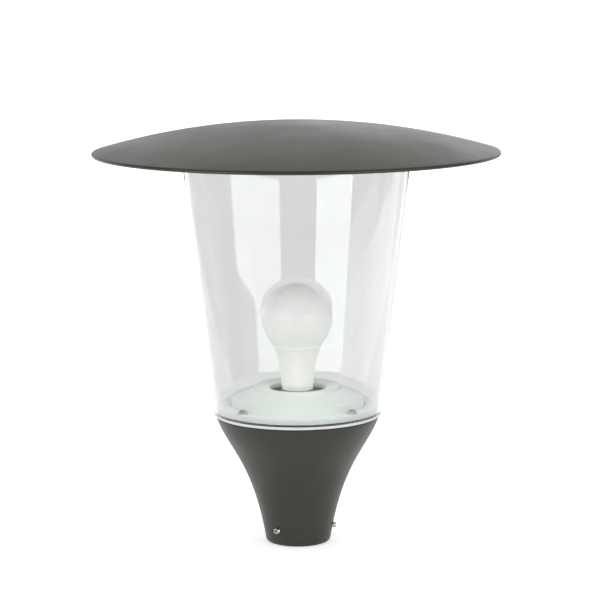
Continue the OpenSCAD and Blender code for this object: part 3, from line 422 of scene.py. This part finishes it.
porcelain = finish("glazed_porcelain", (0.74, 0.74, 0.71, 1), (0.80, 0.80, 0.78, 1), (0.10, 0.2),
                   160.0, 0.00008, blotch=30.0, Coat_Weight=0.5)
nickel = finish("nickel_plate", (0.58, 0.56, 0.52, 1), (0.68, 0.66, 0.62, 1), (0.16, 0.28), 1400.0,
                0.00001, blotch=220.0, Metallic=1.0)
dress(porcelain, "lampholder_body")
dress(nickel, "lampholder_shell")


# Gaskets. Flat black rubber rings under and over the diffuser's flange. The clamp screws go
# through them, and the pressure makes their edges bulge a little.

def flat_ring(inner, outer, low, high, ease, bulge):
    """A flat rubber ring's outline, with its outer edge pressed out at mid height."""
    return eased([(inner, low), (outer, low), (outer + bulge, (low + high) / 2), (outer, high),
                  (inner, high)], ease)


def clamped(name, outline, material, hole_from, hole_to, edge=0.0, under_edge=None):
    """A turned piece with the clamp screws' holes, and another finish up to an edge height."""
    sizes = {"Sides": 192, "Rows": rows(outline), "Hole count": 4, "Hole circle": 0.06464,
             "Hole radius": 0.0023, "Hole bottom": hole_from / 1000, "Hole top": hole_to / 1000,
             "First angle": 45.0, "Finish": material, "Edge height": edge / 1000,
             "Edge finish": under_edge or material}
    tree, given = start_tree(name.replace("_", " "), sizes)
    body = turn(tree, given["Outline"], given["Sides"], given["Rows"])
    holes = ring(tree, peg(tree, given["Hole radius"], given["Hole bottom"], given["Hole top"]),
                 given["Hole count"], given["Hole circle"], 0.0, given["First angle"])
    end_tree(tree, combine(tree, "DIFFERENCE", body, holes), given["Finish"],
             zones=[("LESS_THAN", given["Edge height"], given["Edge finish"])])
    return shape(name, tree, sizes, outline)


flange_in_r, flange_z, flange_top, gasket_top = 60, 113, 116, 117
lower_outline = flat_ring(flange_in_r, 71.0, seat_z, flange_z, 0.25, 0.2)
upper_outline = flat_ring(flange_in_r, 68.7, flange_top, gasket_top, 0.25, 0.1)
keep(clamped("lower_gasket_ring", lower_outline, rubber, seat_z - 1, flange_z + 1),
     "black_rubber", "lower_gasket")
keep(clamped("upper_gasket_ring", upper_outline, rubber, flange_top - 1, gasket_top + 1),
     "black_rubber", "upper_gasket")


# Diffuser. A clear polycarbonate moulding: a cone that widens upwards, with an inward flange
# at the foot for the clamp screws and a bead at the top. Injection moulded in one piece, with
# a fine frosted texture on the flange.

def clear_plastic():
    """Clear polycarbonate with faint flow waves, which lets the light through to the lamp."""
    made = bpy.data.materials.new("clear_polycarbonate")
    made.use_nodes = True
    tree = made.node_tree
    shader = tree.nodes["Principled BSDF"]
    for key, value in (("Base Color", (0.70, 0.71, 0.707, 1)), ("Transmission Weight", 1.0),
                       ("IOR", 1.58), ("Specular IOR Level", 0.5)):
        shader.inputs[key].default_value = value
    place = add(tree, "ShaderNodeTexCoord").outputs["Object"]
    long = add(tree, "ShaderNodeMapping", {"Vector": place, "Scale": (1.0, 1.0, 0.15)})
    flow = add(tree, "ShaderNodeTexNoise", {
        "Vector": long.outputs[0], "Scale": 26.0, "Detail": 1.0})
    waves = add(tree, "ShaderNodeBump", {
        "Height": flow.outputs["Fac"], "Strength": 1.0, "Distance": 0.00012})
    gloss = add(tree, "ShaderNodeMapRange", {
        "Value": flow.outputs["Fac"], "From Min": 0.3, "From Max": 0.7,
        "To Min": 0.0, "To Max": 0.03})
    tree.links.new(waves.outputs[0], shader.inputs["Normal"])
    tree.links.new(gloss.outputs[0], shader.inputs["Roughness"])
    through = add(tree, "ShaderNodeBsdfTransparent", {"Color": (0.93, 0.94, 0.935, 1)})
    both = add(tree, "ShaderNodeMixShader", {
        0: add(tree, "ShaderNodeLightPath").outputs["Is Shadow Ray"],
        1: shader.outputs[0], 2: through.outputs[0]})
    tree.links.new(both.outputs[0], tree.nodes["Material Output"].inputs["Surface"])
    return made


clear = clear_plastic()
frosted = finish("frosted_flange", (0.60, 0.63, 0.65, 1), (0.66, 0.69, 0.71, 1), (0.32, 0.42),
                 1600.0, 0.00002, blotch=60.0, Transmission_Weight=0.35, IOR=1.58)
cone_foot_r, cone_top_r, cone_h, moulded_wall = 72.5, 99.9, 238.8, 3.0
frost_top, bead_z, bead_r, diffuser_top = 115.4, 347.8, 103, 351.8
slope = (cone_top_r - cone_foot_r) / cone_h
level_wall = moulded_wall * math.sqrt(1 + slope * slope)


def cone(z):
    """The cone's outer radius at a height."""
    return cone_foot_r + slope * (z - flange_z)


diffuser_outline = eased(
    [(flange_in_r, flange_z, 0.3), (cone_foot_r, flange_z, 0.4), (cone(frost_top), frost_top),
     (cone(bead_z), bead_z, 0.3), (bead_r, bead_z, 0.5), (bead_r, diffuser_top, 0.5),
     (cone_top_r - level_wall, diffuser_top, 0.4), (cone(flange_top) - level_wall, flange_top, 0.8),
     (flange_in_r, flange_top, 0.3)], 0.3, steps=4)
keep(clamped("clear_diffuser", diffuser_outline, clear, flange_z - 1, flange_top + 1,
             frost_top - 0.1, frosted), "clear_polycarbonate", "diffuser")


# Lamp pan. White coated sheet steel, pressed in one piece: a flange under the clamp ring, an
# upright wall, a low cone with a raised plate, and a turned-down lip around the lamp hole.

white = finish("white_powder_coat", (0.80, 0.845, 0.81, 1), (0.83, 0.87, 0.835, 1), (0.30, 0.40),
               1400.0, 0.00003, blotch=24.0)
pan_r, pan_z, pan_wall_r, pan_sheet = 69.04, 118.2, 57.9, 1.2
cone_end, plate_edge = (37.6, 135.9), (36.9, 138.3)
low_cone = arc((56.3, 127.6), 1.6, 0, 72, 8) + bezier(
    [(56.79, 129.12), (50.46, 131.66), (43.93, 134.16), cone_end], 20)[1:-1]
lip = arc((25.9, 135.5), 1.5, 93, 180, 6) + [(24.4, 133)]
plate = eased([low_cone[-1], (38.2, 135.72), (37.95, 135.3), (37.5, 135.7), plate_edge + (0.35,),
               (35.6, 138.14), (35.3, 137.6), (34.9, 138.06), lip[0]], 0, False, 4)
upper = ([(pan_r, pan_z), (58.9, pan_z), (58.15, 118.5), (pan_wall_r, 119.2)] + low_cone
         + plate[1:-1] + lip)
under = shifted([(pan_r, pan_z), (pan_wall_r, pan_z)] + low_cone + [cone_end, plate_edge] + lip,
                pan_sheet)
keep(clamped("lamp_pan_pressing", upper + under[::-1], white, 116, 119), "white_coat", "lamp_pan")


# Clamp ring with its screws and washers. A flat white ring with an eased outer edge presses
# the pan, gaskets and flange onto the casting's seat. Four pan-head screws with a crossed
# recess go through it, on plain washers.

ring_in_r, ring_out_r, ring_top = 58.6, 69.34, 122.2
ring_outline = eased(
    [(ring_in_r, pan_z, 0.2), (ring_out_r, pan_z, 0.2), (ring_out_r, ring_top, 1.2),
     (ring_in_r, ring_top, 0.4)], 0.3, steps=5)
keep(clamped("white_clamp_ring", ring_outline, white, 117, 123), "white_coat", "clamp_ring")


def pan_head(radius, length, head, tall):
    """A pan-head screw's outline, with the head's underside at height 0."""
    crown = [(head * (0.55 + 0.45 * math.cos(math.radians(a))),
              tall * (0.35 + 0.65 * math.sin(math.radians(a)))) for a in range(0, 91, 10)]
    return ([(0, -length), (radius - 0.4, -length), (radius - 0.1, 0.5 - length)]
            + threaded(radius, 0.6 - length, -1.2, 0.7, 0.22)
            + [(radius - 0.1, -1.0), (radius - 0.1, 0), (head - 0.1, 0), (head, 0.1)] + crown
            + [(0, tall)])


def cross_screws(name, outline, head, tall, count, circle, height, first, tilt, replaced):
    """Pan-head screws with a crossed recess, repeated on a circle."""
    sizes = {"Sides": 40, "Rows": rows(outline), "Count": count, "Circle": circle / 1000,
             "Height": height / 1000, "First angle": first, "Tilt": tilt,
             "Recess length": 1.2 * head / 1000, "Recess width": 0.0009, "Recess height": 0.004,
             "Recess bottom": 0.45 * tall / 1000, "Finish": stainless}
    tree, given = start_tree(name.replace("_", " "), sizes)
    screw = turn(tree, given["Outline"], given["Sides"], given["Rows"])
    half = sums(tree, "MULTIPLY", given["Recess height"], 0.5)
    lift = add(tree, "ShaderNodeCombineXYZ", {
        "Z": sums(tree, "ADD", given["Recess bottom"], half)})
    for long, wide in (("Recess length", "Recess width"), ("Recess width", "Recess length")):
        bar = add(tree, "ShaderNodeCombineXYZ", {
            "X": given[long], "Y": given[wide], "Z": given["Recess height"]})
        cut = add(tree, "GeometryNodeMeshCube", {"Size": bar.outputs[0]})
        moved = add(tree, "GeometryNodeTransform", {
            "Geometry": cut.outputs["Mesh"], "Translation": lift.outputs[0]})
        screw = combine(tree, "DIFFERENCE", screw, moved.outputs[0])
    end_tree(tree, ring(tree, screw, given["Count"], given["Circle"], given["Height"],
                        given["First angle"], given["Tilt"]), given["Finish"])
    keep(shape(name, tree, sizes, outline), "stainless", replaced)


def washers(name, inner, outer, low, high, count, circle, first, replaced):
    """Plain washers with a stamped edge, repeated on a circle."""
    outline = eased([(inner, low), (outer, low, 0.1), (outer, high, 0.25), (inner, high)], 0.1)
    sizes = {"Sides": 40, "Rows": rows(outline), "Count": count, "Circle": circle / 1000,
             "First angle": first, "Finish": stainless}
    tree, given = start_tree(name.replace("_", " "), sizes)
    one = turn(tree, given["Outline"], given["Sides"], given["Rows"])
    end_tree(tree, ring(tree, one, given["Count"], given["Circle"], 0.0, given["First angle"]),
             given["Finish"])
    keep(shape(name, tree, sizes, outline), "stainless", replaced)


screw_r, head_r, head_h, washer_top = 2, 3.5, 2.4, 123.0
cross_screws("clamp_ring_screws", pan_head(screw_r, 17, head_r, head_h), head_r, head_h, 4, 64.64,
             washer_top, 45.0, 0.0, "clamp_screws")
washers("clamp_ring_washers", 2.3, 4.1, ring_top, washer_top, 4, 64.64, 45.0, "clamp_washers")


# Lamp. A screw-in lamp: an opal plastic globe glued into a white housing that tapers down to
# a nickel-plated threaded cap, with a black insulator and a soldered tip.

# The globe glows faintly (Emission_Strength) as painted light. The lamp is not lit, so the glow
# stands in for the light that the canopy's shade keeps off the globe's crown.
opal = finish("opal_globe", (0.90, 0.895, 0.835, 1), (0.92, 0.915, 0.855, 1), (0.10, 0.14),
              900.0, 0.00001, blotch=30.0, Subsurface_Weight=1.0, Subsurface_Scale=0.05,
              Subsurface_Radius=(1.0, 1.0, 1.0), Emission_Strength=0.18)
# The housing glows faintly too, as painted light that brightens it. The lamp is not lit.
housing = finish("lamp_housing", (0.95, 0.945, 0.885, 1), (0.97, 0.965, 0.905, 1), (0.3, 0.38),
                 900.0, 0.00001, blotch=30.0, Emission_Strength=0.16)
insulator = finish("cap_insulator", (0.01, 0.01, 0.012, 1), (0.02, 0.02, 0.022, 1), (0.15, 0.25),
                   700.0, 0.00002)
cap_r, cap_top, cap_pitch, cap_turns, groove = 13.2, 132, 3.6, 4, 0.45
steps = 12
cap_thread = [(cap_r - groove * (1 - math.cos(2 * math.pi * i / steps)),
               cap_top - cap_pitch * i / steps) for i in range(cap_turns * steps, -1, -1)]
globe_r, globe_z, globe_from, lead_in = 30.6, 197.5, math.radians(-35), 2.5
join = (globe_r * math.cos(globe_from), globe_z + globe_r * math.sin(globe_from))
leading = (join[0] + lead_in * math.sin(globe_from), join[1] - lead_in * math.cos(globe_from))
tip = [(0, 111), (3.6, 111.05), (4.4, 111.35), (4.8, 111.9), (4.8, 112.2), (10.9, 116.3),
       (11.8, 116.8)]
collar = [(cap_r, 134.2), (13.1, 134.8), (13.6, 135.5), (13.6, 137.7), (13.75, 138.0)]
taper = bezier([(14.0, 138.3), (14.1, 150), (15, 160), (21.6, 173.6)], 28)
glue_line = [(21.45, 173.85), (21.2, 173.9), (21.2, 174.1), (21.45, 174.15)]
globe = (bezier([(21.6, 174.35), (22.6, 176.3), leading, join], 10)
         + arc((0, globe_z), globe_r, -32, 88, 40) + [(0, globe_z + globe_r)])
lamp_outline = tip + cap_thread + collar + taper + glue_line + globe
lamp_sizes = {"Sides": 128, "Rows": rows(lamp_outline), "Globe from": 0.174, "Housing from": 0.1352,
              "Insulator to": 0.1165, "Tip to": 0.1121, "Globe finish": opal,
              "Housing finish": housing, "Cap finish": nickel, "Insulator finish": insulator}
tree, given = start_tree("lamp", lamp_sizes)
end_tree(tree, turn(tree, given["Outline"], given["Sides"], given["Rows"]), given["Housing finish"],
         48.0, [("GREATER_THAN", given["Globe from"], given["Globe finish"]),
                ("LESS_THAN", given["Housing from"], given["Cap finish"]),
                ("LESS_THAN", given["Insulator to"], given["Insulator finish"]),
                ("LESS_THAN", given["Tip to"], given["Cap finish"])])
keep(shape("screw_in_lamp", tree, lamp_sizes, lamp_outline), "lamp_white", "lamp_bulb")


# Canopy ring with its seal and retaining screws. A ring turned from aluminium and left bare,
# whose skirt reaches over the diffuser's bead. A rubber seal lies between them, and three
# screws through the skirt catch under the bead.

seal_top = 353.8
seal_outline = flat_ring(96.4, 102.4, diffuser_top, seal_top, 0.3, 0.1)
seal_sizes = {"Sides": 192, "Rows": rows(seal_outline), "Finish": rubber}
tree, given = start_tree("canopy seal", seal_sizes)
end_tree(tree, turn(tree, given["Outline"], given["Sides"], given["Rows"]), given["Finish"])
keep(shape("canopy_seal_ring", tree, seal_sizes, seal_outline), "black_rubber", "canopy_seal")

aluminium = finish("bare_aluminium", (0.70, 0.70, 0.71, 1), (0.80, 0.80, 0.81, 1), (0.28, 0.40),
                   1100.0, 0.00001, blotch=140.0, Metallic=1.0)
skirt_r, skirt_in_r, skirt_foot = 106.6, 103.6, 340.8
flat_in_r, flat_top, catch_z = 81, 355.8, 345.4
skirt_outline = eased(
    [(flat_in_r, seal_top), (skirt_in_r, seal_top, 0.5), (skirt_in_r, skirt_foot),
     (skirt_r, skirt_foot), (skirt_r, flat_top, 0.9), (flat_in_r, flat_top)], 0.4)
skirt_sizes = {"Sides": 192, "Rows": rows(skirt_outline), "Hole count": 3, "Hole circle": 0.088,
               "Hole radius": 0.0028, "Hole bottom": 0.353, "Hole top": 0.357, "First angle": 0.0,
               "Thread radius": 0.0021, "Thread from": 0.1, "Thread to": 0.11,
               "Thread height": catch_z / 1000, "Thread first": 60.0, "Finish": aluminium}
tree, given = start_tree("canopy ring", skirt_sizes)
body = turn(tree, given["Outline"], given["Sides"], given["Rows"])
holes = ring(tree, peg(tree, given["Hole radius"], given["Hole bottom"], given["Hole top"]),
             given["Hole count"], given["Hole circle"], 0.0, given["First angle"])
threads = ring(tree, peg(tree, given["Thread radius"], given["Thread from"], given["Thread to"]),
               given["Hole count"], 0.0, given["Thread height"], given["Thread first"], 90.0)
end_tree(tree, combine(tree, "DIFFERENCE", body, holes, threads), given["Finish"])
keep(shape("canopy_ring_skirt", tree, skirt_sizes, skirt_outline), "bare_aluminium", "canopy_ring")
screw_tip_r = cone(catch_z + screw_r) + 0.5
cross_screws("retaining_screws", pan_head(screw_r, skirt_r - screw_tip_r, head_r, head_h), head_r,
             head_h, 3, skirt_r, catch_z, 60.0, 90.0, "canopy_ring_screws")


# Canopy. A shallow dish spun from aluminium sheet, with its rim folded under as a hem, and
# coated in the casting's graphite powder. Three bosses with studs are welded under it.

rim_r, dish_r, dish_in_r, hem_in_r, half_hem, hem_w = 175, 625.0, 623.5, 621.8, 1.6, 7
dish_z = flat_top + 0.5 - math.sqrt(dish_in_r ** 2 - skirt_r ** 2)
edge_angle = math.asin((rim_r - half_hem) / (dish_r - half_hem))
hem_from = edge_angle - hem_w / dish_r


def on_sphere(radius, angle):
    """A point on one of the dish's spheres, by its angle from the axis."""
    return (radius * math.sin(angle), dish_z + radius * math.cos(angle))


fold = on_sphere(dish_r - half_hem, edge_angle)
out, up = math.sin(edge_angle), math.cos(edge_angle)
rim = [(fold[0] + half_hem * (math.cos(a) * out + math.sin(a) * up),
        fold[1] + half_hem * (math.cos(a) * up - math.sin(a) * out))
       for a in (math.pi * i / 12 for i in range(1, 12))]
top = [on_sphere(dish_r, edge_angle * i / 56) for i in range(57)]
hem = [on_sphere(hem_in_r, edge_angle - (edge_angle - hem_from) * i / 4) for i in range(5)]
hem_step = [on_sphere(622.0, hem_from - 0.0004), on_sphere(622.6, hem_from - 0.0009),
            on_sphere(623.1, hem_from - 0.0008), on_sphere(dish_in_r, hem_from - 0.0014)]
underside = [on_sphere(dish_in_r, (hem_from - 0.002) * (1 - i / 48)) for i in range(49)]
canopy_outline = (top + rim + hem + hem_step + underside)[::-1]
boss_r, stud_r, stud_circle, stud_end = 5, 2.5, 88, 347.5
boss_top = dish_z + math.sqrt(dish_in_r ** 2 - stud_circle ** 2) + 0.7
boss = eased([(0, boss_top), (boss_r, boss_top), (boss_r, flat_top, 0.5), (stud_r, flat_top)],
             0.4, False)
stud = threaded(stud_r, flat_top - 0.8, stud_end + 0.1, 0.8, 0.3)
boss_outline = (boss[:-1] + [(stud_r, flat_top), (stud_r - 0.1, flat_top - 0.4)] + stud
                + [(stud_r - 0.4, stud_end), (0, stud_end)])
canopy_sizes = {"Sides": 224, "Rows": rows(canopy_outline), "Stud rows": rows(boss_outline),
                "Stud sides": 40, "Stud count": 3, "Stud circle": stud_circle / 1000,
                "First angle": 0.0, "Finish": graphite}
tree, given = start_tree("canopy", canopy_sizes)
dish_body = turn(tree, given["Outline"], given["Sides"], given["Rows"])
one_stud = turn(tree, given["Outline"], given["Stud sides"], given["Stud rows"], given["Rows"])
studs = ring(tree, one_stud, given["Stud count"], given["Stud circle"], 0.0, given["First angle"])
end_tree(tree, combine(tree, "UNION", dish_body, studs), given["Finish"])
keep(shape("spun_canopy", tree, canopy_sizes, canopy_outline, boss_outline),
     "graphite_coat", "canopy")

nut_foot, nut_top, nut_r, nut_face_r = 349, 353, 4.6, 4.0
washers("stud_washers", 2.8, 5.0, nut_top, seal_top, 3, stud_circle, 0.0, "canopy_washers")
nut_outline = eased([(0, nut_foot), (nut_face_r, nut_foot), (nut_r, nut_foot + 0.35),
                     (nut_r, nut_top - 0.35), (nut_face_r, nut_top), (0, nut_top)], 0, False)
nut_sizes = {"Sides": 48, "Rows": rows(nut_outline), "Count": 3, "Circle": stud_circle / 1000,
             "First angle": 0.0, "Corner radius": nut_r / 1000, "Bottom": nut_foot / 1000,
             "Top": nut_top / 1000, "Bore radius": 0.0026, "Bore from": 0.34, "Bore to": 0.36,
             "Finish": stainless}
tree, given = start_tree("stud nuts", nut_sizes)
blank = combine(tree, "INTERSECT", turn(tree, given["Outline"], given["Sides"], given["Rows"]),
                peg(tree, given["Corner radius"], given["Bottom"], given["Top"], 6))
nut = combine(tree, "DIFFERENCE", blank,
              peg(tree, given["Bore radius"], given["Bore from"], given["Bore to"]))
end_tree(tree, ring(tree, nut, given["Count"], given["Circle"], 0.0, given["First angle"]),
         given["Finish"])
keep(shape("stud_nuts", tree, nut_sizes, nut_outline), "stainless", "canopy_nuts")


# Studio. A pale table under a white sky, and two big soft boxes high in front that light the
# lamp head alone. Strip boxes, cards and dark walls stand around it and show in reflections
# only: they give the clear diffuser its upright bands and the coat its soft shading.

def stage_mesh(name, points, faces, material):
    """A piece of the stage, which the export leaves out."""
    mesh = bpy.data.meshes.new(name)
    mesh.from_pydata(points, [], faces)
    mesh.materials.append(material)
    made = bpy.data.objects.new(name, mesh)
    bpy.context.scene.collection.objects.link(made)
    return made


def glow(name, strength):
    """A white glow that only a reflection shows: a look through the plastic meets nothing."""
    made = bpy.data.materials.new(name)
    made.use_nodes = True
    tree = made.node_tree
    tree.nodes.clear()
    lit = add(tree, "ShaderNodeEmission", {"Color": (1, 1, 1, 1), "Strength": strength})
    clear_air = add(tree, "ShaderNodeBsdfTransparent")
    mirrored = sums(tree, "MINIMUM", add(tree, "ShaderNodeLightPath").outputs["Glossy Depth"], 1.0)
    both = add(tree, "ShaderNodeMixShader", {
        0: mirrored, 1: clear_air.outputs[0], 2: lit.outputs[0]})
    add(tree, "ShaderNodeOutputMaterial", {"Surface": both.outputs[0]})
    return made


def reflected_only(thing):
    """Keeps a stage piece out of the view and out of the plain light."""
    thing.visible_camera = thing.visible_diffuse = thing.visible_shadow = False


def wall_of(name, radius, low, high, start, end, material):
    """An upright sheet bent around the table, by angles from the front towards +X."""
    steps = 24
    points = []
    for i in range(steps + 1):
        a = math.radians(start + (end - start) * i / steps)
        points += [(radius * math.sin(a), -radius * math.cos(a), z) for z in (low, high)]
    faces = [(2 * i, 2 * i + 1, 2 * i + 3, 2 * i + 2) for i in range(steps)]
    reflected_only(stage_mesh(name, points, faces, material))


def square(name, half, height, material):
    """A level square sheet over the middle of the stage."""
    corners = [(-half, -half, height), (half, -half, height), (half, half, height),
               (-half, half, height)]
    return stage_mesh(name, corners, [(0, 1, 2, 3)], material)


paper = finish("table_paper", (0.955, 0.955, 0.955, 1), (0.97, 0.97, 0.97, 1), (0.8, 0.9),
               60.0, 0.0001, blotch=2.0, Emission_Strength=0.42)
table = square("table", 30, 0, paper)
dark = glow("dark_studio", 0.05)
right_strip = glow("right_strip", 6.2)
for name, radius, low, high, start, end, material in (
        ("dark_wall", 2.4, 0.28, 3.2, -125, 115, dark),
        ("dark_wall_left", 2.3, 0.23, 0.4, -125, -62, dark),
        ("side_card_low", 2.1, 0.0, 0.3, -160, -66, glow("low_card", 3.0)),
        ("side_card_high", 2.1, 0.3, 0.42, -105, -66, glow("high_card", 1.7)),
        ("dark_wall_right", 2.3, 0.03, 0.4, 18, 125, dark),
        ("dark_wall_back", 2.3, 0.02, 0.32, 125, 235, dark),
        ("strip_box_left", 2.0, 0.16, 0.8, -66, -23, glow("left_strip", 7.5)),
        ("strip_box_right", 2.0, 0.16, 0.8, 20, 56, right_strip),
        ("strip_box_right_side", 2.0, 0.3, 0.8, 56, 80, right_strip),
        ("back_card_left", 2.2, 0.32, 1.2, 180, 240, glow("left_card", 1.3)),
        ("back_card_right", 2.2, 0.32, 1.2, 130, 180, glow("right_card", 1.9))):
    wall_of(name, radius, low, high, start, end, material)
reflected_only(square("dark_ceiling", 1.8, 3.1, dark))

spared = bpy.data.collections.new("spared_by_the_soft_boxes")
spared.objects.link(table)
spared.collection_objects[0].light_linking.link_state = "EXCLUDE"
box_w, box_h, box_watts, box_away, box_rise = 1.3, 1.1, 38.0, 2.3, 0.66
aimed_at = Vector((0, 0, 0.2))
for name, side in (("soft_box_left", -45), ("soft_box_right", 45)):
    light = bpy.data.lights.new(name, "AREA")
    light.shape, light.size, light.size_y, light.energy = "RECTANGLE", box_w, box_h, box_watts
    box = bpy.data.objects.new(name, light)
    bpy.context.scene.collection.objects.link(box)
    level, aim = box_away * math.cos(box_rise), math.radians(side)
    spot = aimed_at + Vector((level * math.sin(aim), -level * math.cos(aim),
                              box_away * math.sin(box_rise)))
    facing = (aimed_at - spot).to_track_quat("-Z", "Y").to_matrix().to_4x4()
    box.matrix_world = Matrix.Translation(spot) @ facing
    box.visible_camera = box.visible_glossy = box.visible_transmission = False
    box.light_linking.receiver_collection = spared

world = bpy.data.worlds.new("white_studio")
bpy.context.scene.world = world
world.use_nodes = True
sky = world.node_tree.nodes["Background"]
sky.inputs["Color"].default_value = (1.0, 1.0, 1.0, 1)
sky.inputs["Strength"].default_value = 1.03

camera = bpy.data.objects.new("camera", bpy.data.cameras.new("camera"))
bpy.context.scene.collection.objects.link(camera)
camera.data.sensor_width, camera.data.lens = 36.0, 142.36
camera_at, looks_down, leans = (0.0094, -2.080, 0.541), 9.16, 0.25
camera.matrix_world = (Matrix.Translation(camera_at)
                       @ Matrix.Rotation(math.radians(90 - looks_down), 4, "X")
                       @ Matrix.Rotation(math.radians(-leans), 4, "Z"))
bpy.context.scene.camera = camera
bpy.context.scene.view_settings.view_transform = "Standard"
